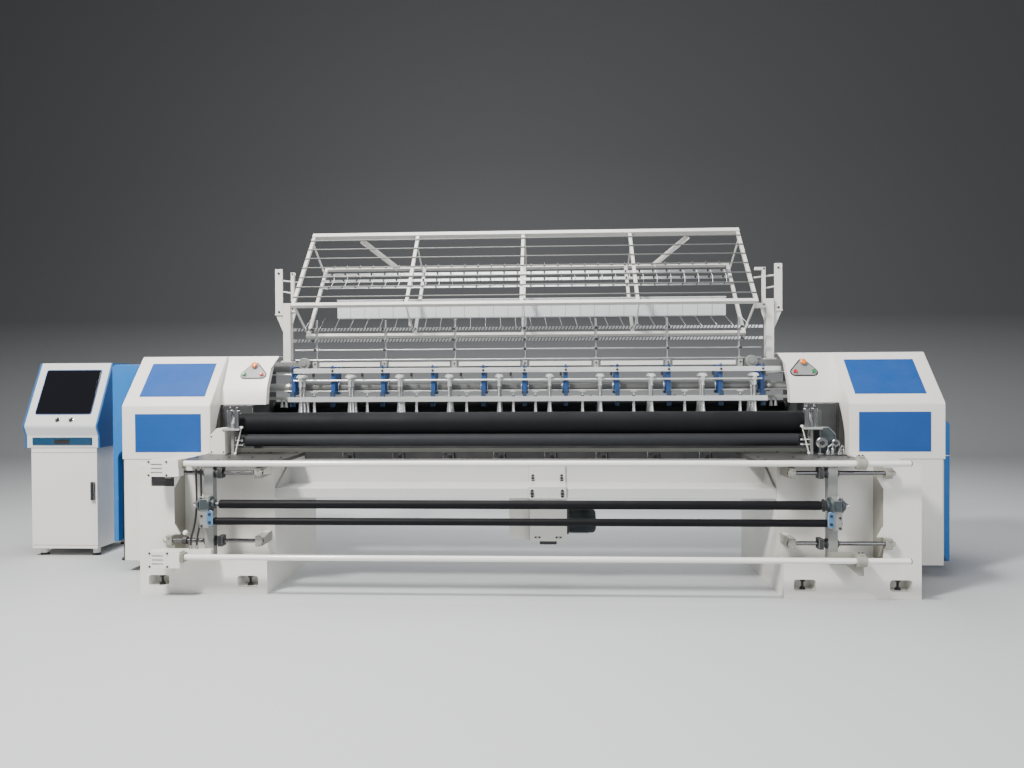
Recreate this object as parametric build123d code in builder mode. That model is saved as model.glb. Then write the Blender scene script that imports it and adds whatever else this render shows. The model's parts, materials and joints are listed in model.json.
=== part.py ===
from build123d import *
import os
from math import acos, atan2, cos, degrees, hypot, sin, tan

# A multi-needle quilting machine: two covered end heads on welded stands, a beam
# and a needle head between them, a sideways carriage with its rollers, a thread
# rack on top and a control cabinet that stands beside it. All sizes are in mm.
# Lengths are worked from the machine's centre plane (X), from the front of its
# feet (Y) and from the floor (Z). The last step moves every piece by one shift.

# Stands
STAND_IN = 1555.0
STAND_OUT = 2350.0
STAND_D = 980.0
BASE_H = 216.0
STAND_H = 788.0
OUTER_H = 770.0
TOP_PLATE_OUT = 2110.0
RECESS_Y = 140.0
PANEL_IN = 2130.0
PANEL_H = 795.0
SHELF_BACK = 480.0
SOLE_T = 45.0
POCKET_W = 128.0
POCKET_H = 68.0
POCKET_DEEP = 90.0
POCKET_R = 18.0
POCKET_INNER_X = 1676.0
POCKET_OUTER_X = 2232.0
SLOT_W = 150.0
SLOT_MID_X = 2200.0
SLOT_Z = 660.0
SLOT_H = 62.0
SLOT_DEEP = 8.0
STAND_WALL = 15.0
WINDOW_EDGE = 70.0
WINDOW_R = 60.0

# Sideways guide shafts and the blocks that hold them
SHAFT_R = 12.5
SHAFT_Y = -20.0
SHAFT_TOP_Z = 747.0
SHAFT_LOW_Z = 333.0
SHAFT_END = 2165.0
BLOCK_HALF = 32.0
BLOCK_FRONT = -42.0
BLOCK_W = 36.0
BLOCK_IN = 1575.0
RUN_CLEAR = 0.05

# Carriage, which stands 35 mm left of the middle in the rest pose
CARRIAGE_X = -35.0
UPRIGHT_X = 1858.0
UPRIGHT_W = 54.0
UPRIGHT_FRONT = -47.0
UPRIGHT_BACK = 7.0
UPRIGHT_LOW = 222.0
DECK_Z = 800.0
DECK_T = 22.0
DECK_IN = 1430.0
DECK_PAST_PLATE = 210.0
DECK_FRONT = -60.0
DECK_BACK = 470.0
GUSSET_T = 16.0
GUSSET_RUN = 113.0
GUSSET_DROP = 150.0
END_PLATE_T = 16.0
END_PLATE_FRONT = 305.0
END_PLATE_TOP = 1085.0
END_PLATE_CUT = 60.0
UPPER_ROLL_Y = 398.0
UPPER_ROLL_Z = 1018.0
UPPER_ROLL_R = 74.0
UPPER_ROLL_HALF = 1830.0
END_PLATE_IN = UPPER_ROLL_HALF + 20.0
LOWER_ROLL_Y = 352.0
LOWER_ROLL_Z = 912.0
LOWER_ROLL_R = 40.0
LOWER_ROLL_HALF = UPPER_ROLL_HALF - 45.0
ROLL_JOURNAL_R = 17.5
JOURNAL_OUT = 10.0
NIP_Y = -85.0
NIP_A_Z = 567.0
NIP_A_R = 26.0
NIP_A_HALF = UPRIGHT_X - UPRIGHT_W / 2 - 59.0
NIP_B_Z = 464.0
NIP_B_R = 22.0
NIP_B_HALF = UPRIGHT_X - UPRIGHT_W / 2 - 23.0
NIP_JOURNAL_R = 12.5
HOUSING_FRONT = -113.0
HOUSING_Z = (428.0, 613.0)
CYLINDER_R = 20.0
CYLINDER_Y = 340.0
CYLINDER_Z = (996.0, 1112.0)
BOX_X = (END_PLATE_IN + END_PLATE_T + 40.0, END_PLATE_IN + END_PLATE_T + 140.0)
BOX_Y = (300.0, 420.0)
BOX_TOP = 994.0
BOX_CHAMFER = 45.0
STRIP_Z = (838.0, 860.0)
STRIP_Y = (316.0, 328.0)

# Front guide tubes and their brackets
TUBE_R = 17.5
TUBE_Y = -110.0
TUBE_TOP_Z = 813.0
TUBE_LOW_Z = 252.0
TUBE_X = (-2049.0, 2233.0)
BRACKET_X = (-2220.0, -2030.0)
BRACKET_Y = (-142.0, -80.0)
BRACKET_TOP_Z = (738.0, 836.0)
BRACKET_LOW_Z = (192.0, 290.0)
BRACKET_SLOT = (70.0, 9.0)
BRACKET_SLOT_X = -2165.0
BRACKET_SLOT_DEEP = 12.0
BRACKET_SLOT_STEP = 24.0
RING_R = 31.0
RING_X = (UPRIGHT_X + 72.0, UPRIGHT_X + 122.0)
ARM_T = 12.0
ARM_REACH = 61.0
ARM_RISE = 20.0
ARM_DROP = 91.0
ARM_TIP = 25.0

# Crossbeam and the drive under it
BEAM_FRONT = 140.0
BEAM_STEP = 380.0
BEAM_BACK = 620.0
BEAM_LOW = 568.0
BEAM_LEDGE = 630.0
BEAM_TOP = 760.0
BEAM_GUSSET_T = 15.0
BEAM_WALL = 14.0
SPLICE_X = 158.0
SPLICE_W = 236.0
SPLICE_T = 12.0
SPLICE_TOP = 748.0
SPLICE_BOLT_IN = 25.0
GEARBOX_X = (40.0, 285.0)
GEARBOX_SIDE_X = -93.0
GEARBOX_Y = (385.0, 600.0)
GEARBOX_LOW = 247.0
GEARBOX_STEP = 45.0
SUMP_W = 110.0
SUMP_D = 90.0
SUMP_H = 32.0
SUMP_R = 12.0
MOTOR_R = 78.0
MOTOR_L = 190.0
MOTOR_Z = 362.0
MOTOR_FILLET = 22.0
MOTOR_FLANGE_R = 90.0
MOTOR_FLANGE_T = 14.0

# Covers
COVER_T = 4.0
COVER_FRONT = 485.0
COVER_BACK = 1200.0
COVER_IN = 2127.0
COVER_OUT = 2735.0
COVER_SEAM = 772.0
COVER_LOW = 80.0
COVER_BEND = 1136.0
COVER_CREST_Y = 770.0
COVER_TOP = 1476.0
COVER_BEND_R = 22.0
FLANGE = 34.0
HOOD_IN = 1800.0
HOOD_IN_TOP = 1757.0
HOOD_KNEE_Z = 1390.0
HOOD_LIP_Y = 650.0
HOOD_LIP_Z = 1137.0
HOOD_CREASE_Y = 665.0
HOOD_CREASE_Z = 1247.0
HOOD_CREST_Y = 800.0
HOOD_BACK = 900.0
CHEEK = 55.0
BLUE_T = 2.5
LOW_PANEL_X = (2187.0, 2645.0)
LOW_PANEL_Z = (821.0, 1080.0)
HIGH_PANEL_X = (2182.0, 2642.0)
HIGH_PANEL_Z = (1196.0, 1425.0)
CASING_BACK = 1250.0
LEFT_CASING_OUT = 2960.0
LEFT_CASING_FRONT = 750.0
LEFT_CASING_Z = (150.0, 1422.0)
CASING_R = 30.0
RIGHT_CASING_OUT = 2890.0
RIGHT_CASING_FRONT = 724.0
RIGHT_CASING_Z = (50.0, 1045.0)
CASING_SLOPE = (75.0, 60.0)
RECESS_MID_X = 2862.0
RECESS_HALF = 62.0
RECESS_TOP = 745.0
RECESS_DEEP = 55.0

# Push buttons on each hood
PLATE_X = 1915.0
PLATE_SHARE = 0.546
PLATE_R = 24.0
PLATE_T = 6.0
BUTTON_UP = 36.0
BUTTON_DOWN = -36.0
BUTTON_SIDE = 62.0
STOP_R = 21.0
STOP_H = 22.0
PUSH_R = 13.0
PUSH_H = 9.0
BUTTON_CLEAR = 0.08
STEM_R = 8.0
STEM_FROM = 5.0
STEM_TO = 11.5

# Side frames and needle head
FRAME_IN = 1890.0
FRAME_OUT = 2100.0
FRAME_FRONT = 640.0
FRAME_TOP = 1440.0
FRAME_BACK = 1100.0
FRAME_WALL = 18.0
FRAME_NOTCH_Z = 1130.0
FRAME_NOTCH_Y = 680.0
FRAME_LEAN = (800.0, 1247.0)
BEAM_Y = (960.0, 1080.0)
BEAM_Z = (1362.0, 1435.0)
BOX_WALL = 8.0
CAP_X = 1614.0
CAP_Z = 1421.0
CAP_R = 44.0
CAP_Y = (905.0, 940.0)
CAP_NECK_R = 20.0
CAP_HUB_R = 19.0
CAP_HUB_T = 8.0
CAP_EDGE = 5.0
MAIN_Y = 925.0
MAIN_Z = 1248.0
MAIN_R = 32.5
MAIN_HALF = 1710.0
BRACKET_XS = (0.0, 292.5, 654.0, 1015.5, 1377.0, 1667.0)
BRACKET_W = 28.0
HANGER_FRONT = 830.0
HANGER_BACK = 1000.0
HANGER_LOW = 1196.0
HANGER_TOP = 1398.0
HANGER_R = 42.0
BOSS_R = 50.0
BOSS_W = 46.0
TONGUE_Z = (1112.0, 1218.0)
GUIDE_BAR_Z = (1352.0, 1385.0)
GUIDE_BAR_T = 14.0
GUIDE_BAR_X = (-1660.0, 1790.0)
ROW_Y = (780.0, 856.0, 932.0)
RAIL_HALF = 1682.0
RAIL_Z = (1148.0, 1182.0)
RAIL_T = 40.0
TIE_XS = (470.0, 1060.0, 1641.0)
TIE_W = 18.0
ROD_PITCH = 355.0
ROD_COUNT = 10
ROD_R = 12.0
ROD_LOW = 1255.0
YOKE_Z = (1306.0, 1330.0)
YOKE_W = 60.0
YOKE_OVER = 16.0
NEEDLE_BAR_R = 5.0
NEEDLE_BAR_LOW = 1090.0
NEEDLE_R = 1.5
NEEDLE_TIP = 1046.0
BORE_R = 6.0
DRIVE_BAR_R = 7.0
DRIVE_BAR_HALF = 1660.0
PIN_XS = (78.0, 408.0, 764.0, 1117.0, 1498.0)
PIN_R = 7.0
PIN_TOP = 1212.0
PIN_HEAD = (42.0, 30.0, 14.0)
FOOT_TOP_R = 13.0
FOOT_LOW_R = 22.0
FOOT_Z = (1043.0, 1135.0)
FOOT_NECK_R = 10.0
PIN_FOOT_LOW_R = 14.0
PIN_FOOT_TOP_R = 8.0
PLATE_Z = (1002.0, 1014.0)
PLATE_Y = (720.0, 990.0)
PLATE_HALF = 1720.0
HOLE_R = 3.0
BED_Y = (730.0, 980.0)
BED_Z = (808.0, 910.0)
BED_WALL = 8.0
HOOK_Z = 965.0
HOOK_SHAFT_R = 12.0
HOOK_SHAFT_HALF = 1700.0
HOOK_R = 24.0
HOOK_W = 22.0
HOOK_ASIDE = 14.0
PILLOW_XS = (-1420.0, -710.0, 0.0, 710.0, 1420.0)
PILLOW_W = 26.0
PILLOW_Y = (750.0, 886.0)
PILLOW_TOP = 996.0

# Thread rack: a leaning frame, given by its four corners in Y and Z
RACK_X = -22.0
RACK_HALF = 1660.0
FRONT_LOW = (880.0, 1846.0)
FRONT_TOP = (1410.0, 2440.0)
BACK_TOP = (1730.0, 2225.0)
BACK_LOW = (1220.0, 1640.0)
TOP_BAR = 38.0
RACK_BAR = 28.0
LEG_W = 24.0
BRACE_T = 8.0
BRACE_SHARE = 0.05
GUIDE_ROD_R = 5.0
GUIDE_RODS = 7
GUIDE_SHARES = (0.09, 0.91)
STRIP_SHARES = (0.89, 0.79, 0.69)
CLIP_W = 30.0
CLIP_T = 4.0
COMB_HALF = 1690.0
COMB_Y = 905.0
COMB_ZS = (1588.0, 1669.0)
COMB_H = 20.0
COMB_T = 8.0
WIRE_ZS = (1449.0, 1522.0)
WIRE_Y = 950.0
WIRE_R = 5.0
ARM_W = 12.0
POST_R = 9.0
POST_Y = 1000.0
POST_TOP = 1735.0
POST_PITCH = 515.0
POST_COUNT = 7
COLUMN_X = (1735.0, 1790.0)
COLUMN_Y = (975.0, 1035.0)
COLUMN_TOP = 1872.0
STUB_Z = (1806.0, 1826.0)
STUB_Y = (990.0, 1020.0)
CLAW_X = (1712.0, 1735.0)
CLAW_GAP = 3.0
CLAW_Z = (1822.0, 2100.0)
CLAW_ARM = 20.0
EAR_X = (1800.0, 1856.0)
EAR_Z = (1785.0, 2128.0)
EAR_T = 10.0
TRAY_X = (-1420.0, 1480.0)
TRAY_Y = (1112.0, 1197.0)
TRAY_Z = (1768.0, 1905.0)
TRAY_T = 4.0
TRAY_FOOT = (12.0, 30.0)
TRAY_FOOT_LOW = 1690.0

# Control cabinet
CAB_X = (-3681.0, -3180.0)
CAB_Y = (930.0, 1400.0)
CAB_Z = (60.0, 810.0)
CAB_T = 4.0
CAB_FOOT_R = 25.0
CAB_FOOT_IN = 50.0
LIP_Y = 912.0
LIP_LOW = 82.0
LIP_HIGH = 774.0
DOOR_T = 15.0
DOOR_GAP = 3.0
HANDLE_X = (-3221.0, -3193.0)
HANDLE_Z = (422.0, 556.0)
HANDLE_T = 20.0
PIVOT_IN = 6.0
PIVOT_R = 4.0
PIVOT_L = 10.0
CONSOLE_X = (-3723.0, -3153.0)
CONSOLE_FRONT = 905.0
CONSOLE_BREAK_Z = 900.0
NOSE = (875.0, 972.0)
CREST = (1090.0, 1440.0)
CONSOLE_BACK = 1330.0
CONSOLE_LOW = 810.0
CONSOLE_CHEEK = 14.0
FACE_IN = 4.0
NOSE_R = 34.0
CREST_R = 10.0
SCREEN_W = 418.0
SCREEN_H = 352.0
SCREEN_T = 8.0
SCREEN_UP = 275.0
SCREEN_R = 10.0
KNOB_XS = (-3467.0, -3364.0)
KNOB_UP = 50.0
KNOB_R = 13.0
KNOB_H = 16.0
KNOB_STEM_R = 5.0
KNOB_STEM_L = 12.0
DRAWER_X = (-3665.0, -3212.0)
DRAWER_Z = (832.0, 884.0)
DRAWER_DEEP = 300.0
DRAWER_SIDE = 1.5
DRAWER_WALL = 3.0
DRAWER_PROUD = 4.0

# Hoses from the deck plate down to the lower left bracket
HOSE_R = 6.0
HOSE_A = ((-1968, -50, 800), (-1968, -50, 700), (-1962, -54, 560), (-1975, -58, 430),
          (-2000, -64, 350), (-2000, -64, 290))
HOSE_B = ((-1938, -50, 800), (-1938, -50, 705), (-1934, -53, 570), (-1940, -58, 440),
          (-1962, -64, 350), (-1962, -64, 290))
BEND_SHARE = 0.45

# Fasteners
ANCHOR_R = 11.0
ANCHOR_H = 40.0
NUT_R = 19.0
NUT_H = 16.0
SPLICE_BOLT_R = 8.0
SPLICE_BOLT_H = 9.0

SIDES = (("left", -1), ("right", 1))

# Every piece is moved so that the origin lies under the middle of the whole
# machine, on the floor, halfway between its outermost faces.
X_LOW = CONSOLE_X[0]
X_HIGH = RIGHT_CASING_OUT
Y_LOW = BRACKET_Y[0]
BACK_LEAN = atan2(BACK_TOP[1] - BACK_LOW[1], BACK_TOP[0] - BACK_LOW[0])
Y_HIGH = BACK_TOP[0] + RACK_BAR / 2 * (cos(BACK_LEAN) + sin(BACK_LEAN))
SHIFT = Location((-(X_LOW + X_HIGH) / 2, -(Y_LOW + Y_HIGH) / 2, 0))

# How far a cutter reaches past the face that it opens.
PAST = 1.0

os.makedirs("parts", exist_ok=True)


def write(piece, name):
    """Move a finished piece into the machine's frame, label it and export it."""
    placed = piece.moved(SHIFT)
    placed.label = name
    export_step(placed, f"parts/{name}.step")


def span(sign, near, far):
    """The low and high X of a stretch that is mirrored about the centre plane."""
    return (min(sign * near, sign * far), max(sign * near, sign * far))


def carried(sign, near, far):
    """The same for a piece that rides on the carriage."""
    low, high = span(sign, near, far)
    return (low + CARRIAGE_X, high + CARRIAGE_X)


def block(x, y, z, mode=Mode.ADD):
    """A box from three (low, high) spans."""
    middle = ((x[0] + x[1]) / 2, (y[0] + y[1]) / 2, (z[0] + z[1]) / 2)
    with Locations(middle):
        Box(x[1] - x[0], y[1] - y[0], z[1] - z[0], mode=mode)


def side_prism(points, x, mode=Mode.ADD, rounds=()):
    """A flat-sided solid: an outline in Y and Z, from one X to another. Each
    round is a corner of the outline with the radius that it is turned over."""
    with BuildSketch(Plane.YZ.offset(x[0])) as profile:
        with BuildLine():
            Polyline(*points, close=True)
        make_face()
        for corner, radius in rounds:
            fillet(profile.vertices().sort_by_distance((*corner, 0))[0], radius)
    extrude(profile.sketch, amount=x[1] - x[0], mode=mode)


def front_prism(points, y, mode=Mode.ADD):
    """A flat-sided solid: an outline in X and Z, from one Y to another."""
    with BuildSketch(Plane.XZ.offset(-y[1])) as profile:
        with BuildLine():
            Polyline(*points, close=True)
        make_face()
    extrude(profile.sketch, amount=y[1] - y[0], mode=mode)


def x_rod(x, y, z, radius, mode=Mode.ADD):
    """A round bar along X between two ends."""
    with BuildSketch(Plane.YZ.offset(x[0])) as profile:
        with Locations((y, z)):
            Circle(radius)
    extrude(profile.sketch, amount=x[1] - x[0], mode=mode)


def z_rod(x, y, z, radius, mode=Mode.ADD):
    """A round bar along Z between two ends."""
    with BuildSketch(Plane.XY.offset(z[0])) as profile:
        with Locations((x, y)):
            Circle(radius)
    extrude(profile.sketch, amount=z[1] - z[0], mode=mode)


def angle_of(start, end):
    """The angle from +Y towards +Z of the line between two points in Y and Z."""
    return degrees(atan2(end[1] - start[1], end[0] - start[0]))


def slant_bar(start, end, x, width):
    """A bar in the plane of one X stretch, between two points in Y and Z."""
    length = hypot(end[0] - start[0], end[1] - start[1])
    middle = ((x[0] + x[1]) / 2, (start[0] + end[0]) / 2, (start[1] + end[1]) / 2)
    with Locations(Location(middle, (angle_of(start, end), 0, 0))):
        Box(x[1] - x[0], length, width)


def between(start, end, share):
    """The point at a share of the way from one point to another."""
    return (start[0] + (end[0] - start[0]) * share, start[1] + (end[1] - start[1]) * share)


# Stands: welded plate boxes on a base with pocketed feet, with a rounded window
# in the back. The middle of the front is set back behind the guide shafts, and the
# outer part stands in line with the base.
SHAFT_ZS = (SHAFT_LOW_Z, SHAFT_TOP_Z)
for side, s in SIDES:
    with BuildPart() as stand:
        block(span(s, STAND_IN, STAND_OUT), (0, STAND_D), (0, BASE_H))
        for back in (POCKET_DEEP, STAND_D):
            with BuildSketch(Plane.XZ.offset(-back)):
                with Locations((s * POCKET_INNER_X, SOLE_T + POCKET_H / 2),
                               (s * POCKET_OUTER_X, SOLE_T + POCKET_H / 2)):
                    RectangleRounded(POCKET_W, POCKET_H, POCKET_R)
            extrude(amount=POCKET_DEEP, mode=Mode.SUBTRACT)
        block(span(s, STAND_IN, STAND_OUT), (RECESS_Y, STAND_D), (BASE_H, OUTER_H))
        block(span(s, STAND_IN, TOP_PLATE_OUT), (RECESS_Y, STAND_D), (OUTER_H, STAND_H))
        block(span(s, PANEL_IN, STAND_OUT), (0, SHELF_BACK), (BASE_H, PANEL_H))
        inside_x = span(s, STAND_IN + STAND_WALL, STAND_OUT - STAND_WALL)
        block(inside_x, (POCKET_DEEP + STAND_WALL, STAND_D - POCKET_DEEP - STAND_WALL),
              (STAND_WALL, BASE_H - STAND_WALL), mode=Mode.SUBTRACT)
        block(inside_x, (RECESS_Y + STAND_WALL, STAND_D - STAND_WALL),
              (BASE_H, OUTER_H - STAND_WALL), mode=Mode.SUBTRACT)
        block(span(s, PANEL_IN + STAND_WALL, STAND_OUT - STAND_WALL),
              (STAND_WALL, RECESS_Y + STAND_WALL), (BASE_H, OUTER_H - STAND_WALL),
              mode=Mode.SUBTRACT)
        with BuildSketch(Plane.XZ.offset(-STAND_D)):
            with Locations((s * (STAND_IN + STAND_OUT) / 2, (BASE_H + OUTER_H) / 2)):
                RectangleRounded(STAND_OUT - STAND_IN - 2 * WINDOW_EDGE,
                                 OUTER_H - BASE_H - 2 * WINDOW_EDGE, WINDOW_R)
        extrude(amount=STAND_WALL, mode=Mode.SUBTRACT)
        if side == "left":
            block(span(s, SLOT_MID_X - SLOT_W / 2, SLOT_MID_X + SLOT_W / 2),
                  (-PAST, SLOT_DEEP), (SLOT_Z, SLOT_Z + SLOT_H), mode=Mode.SUBTRACT)
        for z in SHAFT_ZS:
            level = (z - BLOCK_HALF, z + BLOCK_HALF)
            block(span(s, PANEL_IN, PANEL_IN + BLOCK_W), (BLOCK_FRONT, 0), level)
            block(span(s, BLOCK_IN, BLOCK_IN + BLOCK_W), (BLOCK_FRONT, RECESS_Y), level)
            x_rod(span(s, BLOCK_IN, SHAFT_END), SHAFT_Y, z, SHAFT_R, mode=Mode.SUBTRACT)
    write(stand.part, f"{side}_stand")

# Guide shafts, held at both ends in the blocks of each stand.
with BuildPart() as shafts:
    for _, s in SIDES:
        for z in SHAFT_ZS:
            x_rod(span(s, BLOCK_IN, SHAFT_END), SHAFT_Y, z, SHAFT_R)
write(shafts.part, "guide_shafts")

# Crossbeam between the stands: a hollow section with a stepped front and a gusset
# at each end.
beam_outline = ((BEAM_FRONT, BEAM_LOW), (BEAM_BACK, BEAM_LOW), (BEAM_BACK, BEAM_TOP),
                (BEAM_STEP, BEAM_TOP), (BEAM_STEP, BEAM_LEDGE), (BEAM_FRONT, BEAM_LEDGE))
beam_inside = ((BEAM_FRONT + BEAM_WALL, BEAM_LOW + BEAM_WALL),
               (BEAM_BACK - BEAM_WALL, BEAM_LOW + BEAM_WALL),
               (BEAM_BACK - BEAM_WALL, BEAM_TOP - BEAM_WALL),
               (BEAM_STEP + BEAM_WALL, BEAM_TOP - BEAM_WALL),
               (BEAM_STEP + BEAM_WALL, BEAM_LEDGE - BEAM_WALL),
               (BEAM_FRONT + BEAM_WALL, BEAM_LEDGE - BEAM_WALL))
beam_gusset = ((BEAM_FRONT, BEAM_LEDGE), (BEAM_STEP, BEAM_TOP), (BEAM_STEP, BEAM_LEDGE))
with BuildPart() as crossbeam:
    side_prism(beam_outline, (-STAND_IN, STAND_IN))
    side_prism(beam_inside, (-STAND_IN, STAND_IN), mode=Mode.SUBTRACT)
    for _, s in SIDES:
        side_prism(beam_gusset, span(s, STAND_IN - BEAM_GUSSET_T, STAND_IN))
write(crossbeam.part, "crossbeam")

# Splice plate: a stepped plate over the joint in the middle of the beam.
splice_x = (SPLICE_X - SPLICE_W / 2, SPLICE_X + SPLICE_W / 2)
with BuildPart() as splice:
    block(splice_x, (BEAM_STEP - SPLICE_T, BEAM_STEP), (BEAM_LEDGE, SPLICE_TOP))
    block(splice_x, (BEAM_FRONT - SPLICE_T, BEAM_STEP), (BEAM_LEDGE, BEAM_LEDGE + SPLICE_T))
    block(splice_x, (BEAM_FRONT - SPLICE_T, BEAM_FRONT), (BEAM_LOW, BEAM_LEDGE))
write(splice.part, "splice_plate")

# Bolts of the splice plate and the anchor bolts in the foot pockets.
with BuildPart() as bolts:
    for x in (splice_x[0] + SPLICE_BOLT_IN, splice_x[1] - SPLICE_BOLT_IN):
        for y, z in ((BEAM_STEP - SPLICE_T, (BEAM_LEDGE + BEAM_TOP) / 2),
                     (BEAM_FRONT - SPLICE_T, (BEAM_LOW + BEAM_LEDGE) / 2)):
            with BuildSketch(Plane.XZ.offset(-y)):
                with Locations((x, z)):
                    RegularPolygon(SPLICE_BOLT_R, 6)
            extrude(amount=SPLICE_BOLT_H)
    for _, s in SIDES:
        for x in (POCKET_INNER_X, POCKET_OUTER_X):
            for y in (POCKET_DEEP / 2, STAND_D - POCKET_DEEP / 2):
                z_rod(s * x, y, (SOLE_T, SOLE_T + ANCHOR_H), ANCHOR_R)
                with BuildSketch(Plane.XY.offset(SOLE_T)):
                    with Locations((s * x, y)):
                        RegularPolygon(NUT_R, 6)
                extrude(amount=NUT_H)
write(bolts.part, "frame_bolts")

# Gearbox under the crossbeam, with its lower side box and its sump.
gear_y = (GEARBOX_Y[0] + GEARBOX_Y[1]) / 2
with BuildPart() as gearbox:
    block(GEARBOX_X, GEARBOX_Y, (GEARBOX_LOW, BEAM_LOW))
    block((GEARBOX_SIDE_X, GEARBOX_X[0]), (GEARBOX_Y[0] + GEARBOX_STEP, GEARBOX_Y[1]),
          (GEARBOX_LOW, BEAM_LOW))
    with BuildSketch(Plane.XY.offset(GEARBOX_LOW - SUMP_H)):
        with Locations(((GEARBOX_X[0] + GEARBOX_X[1]) / 2, gear_y)):
            RectangleRounded(SUMP_W, SUMP_D, SUMP_R)
    extrude(amount=SUMP_H)
write(gearbox.part, "gearbox")

# Motor that sticks out of the gearbox's right side.
with BuildPart() as motor:
    x_rod((GEARBOX_X[1], GEARBOX_X[1] + MOTOR_L), gear_y, MOTOR_Z, MOTOR_R)
    fillet(motor.edges().filter_by(GeomType.CIRCLE).sort_by(Axis.X)[-1], MOTOR_FILLET)
    x_rod((GEARBOX_X[1], GEARBOX_X[1] + MOTOR_FLANGE_T), gear_y, MOTOR_Z, MOTOR_FLANGE_R)
write(motor.part, "drive_motor")

# Lower covers: bent sheet round the outside of each stand.
cover_w = COVER_OUT - STAND_OUT
cover_d = COVER_BACK - COVER_FRONT
for side, s in SIDES:
    with BuildPart() as cover:
        with BuildSketch(Plane.XY.offset(COVER_LOW)):
            with Locations((s * STAND_OUT, (COVER_FRONT + COVER_BACK) / 2)):
                RectangleRounded(2 * cover_w, cover_d, COVER_BEND_R)
                RectangleRounded(2 * (cover_w - COVER_T), cover_d - 2 * COVER_T,
                                 COVER_BEND_R - COVER_T, mode=Mode.SUBTRACT)
            with Locations((s * (STAND_OUT - cover_w / 2), (COVER_FRONT + COVER_BACK) / 2)):
                Rectangle(cover_w, cover_d, mode=Mode.SUBTRACT)
        extrude(amount=COVER_SEAM - COVER_LOW)
    write(cover.part, f"{side}_lower_cover")

# Upper covers: sheet with a front that leans back over rounded bends, and a hood
# over the needle zone. Both are open below, and the hood is open behind.
main_outline = ((COVER_FRONT, COVER_SEAM), (COVER_FRONT, COVER_BEND),
                (COVER_CREST_Y, COVER_TOP), (COVER_BACK, COVER_TOP), (COVER_BACK, COVER_SEAM))
main_rounds = [(corner, COVER_BEND_R) for corner in main_outline[1:4]]


def inset(depth, low):
    """The upper cover's outline, set inwards by a depth and open below."""
    return ((COVER_FRONT + depth, low), (COVER_FRONT + depth, COVER_BEND - depth * 0.4),
            (COVER_CREST_Y + depth * 0.5, COVER_TOP - depth),
            (COVER_BACK - depth, COVER_TOP - depth), (COVER_BACK - depth, low))


hood_outline = ((HOOD_LIP_Y, HOOD_LIP_Z), (HOOD_CREASE_Y, HOOD_CREASE_Z),
                (HOOD_CREST_Y, COVER_TOP), (HOOD_BACK, COVER_TOP),
                (HOOD_BACK, COVER_TOP - COVER_T), (HOOD_CREST_Y + COVER_T, COVER_TOP - COVER_T),
                (HOOD_CREASE_Y + COVER_T, HOOD_CREASE_Z), (HOOD_LIP_Y + COVER_T, HOOD_LIP_Z))
cheek_outline = ((HOOD_LIP_Y, HOOD_LIP_Z), (HOOD_CREASE_Y, HOOD_CREASE_Z),
                 (HOOD_CREST_Y, COVER_TOP), (HOOD_CREST_Y + CHEEK, COVER_TOP),
                 (HOOD_CREASE_Y + CHEEK, HOOD_CREASE_Z), (HOOD_LIP_Y + CHEEK, HOOD_LIP_Z))
for side, s in SIDES:
    with BuildPart() as cover:
        side_prism(main_outline, span(s, COVER_IN, COVER_OUT), rounds=main_rounds)
        inner_outline = inset(COVER_T, COVER_SEAM - PAST)
        side_prism(inner_outline, span(s, COVER_IN + COVER_T, COVER_OUT - COVER_T),
                   mode=Mode.SUBTRACT,
                   rounds=[(corner, COVER_BEND_R - COVER_T) for corner in inner_outline[1:4]])
        side_prism(inset(FLANGE, COVER_SEAM - PAST),
                   span(s, COVER_IN - PAST, COVER_IN + COVER_T + PAST), mode=Mode.SUBTRACT)
        side_prism(hood_outline, span(s, HOOD_IN_TOP, COVER_IN))
        corner = ((s * (HOOD_IN_TOP - PAST), HOOD_LIP_Z - PAST), (s * HOOD_IN, HOOD_LIP_Z - PAST),
                  (s * HOOD_IN, HOOD_KNEE_Z), (s * HOOD_IN_TOP, COVER_TOP),
                  (s * (HOOD_IN_TOP - PAST), COVER_TOP))
        front_prism(corner, (HOOD_LIP_Y - PAST, HOOD_BACK + PAST), mode=Mode.SUBTRACT)
        side_prism(cheek_outline, span(s, HOOD_IN, HOOD_IN + COVER_T))
    write(cover.part, f"{side}_upper_cover")

# Blue casings outside the covers: a tall one on the left, a low one on the right.
with BuildPart() as casings:
    block((-LEFT_CASING_OUT, -COVER_OUT), (LEFT_CASING_FRONT, CASING_BACK), LEFT_CASING_Z)
    roof = casings.edges().filter_by(Axis.Y).group_by(Axis.Z)[-1]
    fillet(roof.sort_by(Axis.X)[0], CASING_R)
    with BuildSketch(Plane.XZ.offset(-LEFT_CASING_FRONT - RECESS_DEEP)):
        with Locations((-RECESS_MID_X, (LEFT_CASING_Z[0] + RECESS_TOP) / 2)):
            Rectangle(2 * RECESS_HALF, RECESS_TOP - LEFT_CASING_Z[0])
        with Locations((-RECESS_MID_X, RECESS_TOP)):
            Circle(RECESS_HALF)
    extrude(amount=RECESS_DEEP, mode=Mode.SUBTRACT)
    block((COVER_OUT, RIGHT_CASING_OUT), (RIGHT_CASING_FRONT, CASING_BACK), RIGHT_CASING_Z)
    slope = ((RIGHT_CASING_OUT + PAST, RIGHT_CASING_Z[1] - CASING_SLOPE[1]),
             (RIGHT_CASING_OUT, RIGHT_CASING_Z[1] - CASING_SLOPE[1]),
             (RIGHT_CASING_OUT - CASING_SLOPE[0], RIGHT_CASING_Z[1]),
             (RIGHT_CASING_OUT - CASING_SLOPE[0], RIGHT_CASING_Z[1] + PAST),
             (RIGHT_CASING_OUT + PAST, RIGHT_CASING_Z[1] + PAST))
    front_prism(slope, (RIGHT_CASING_FRONT - PAST, CASING_BACK + PAST), mode=Mode.SUBTRACT)
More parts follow.
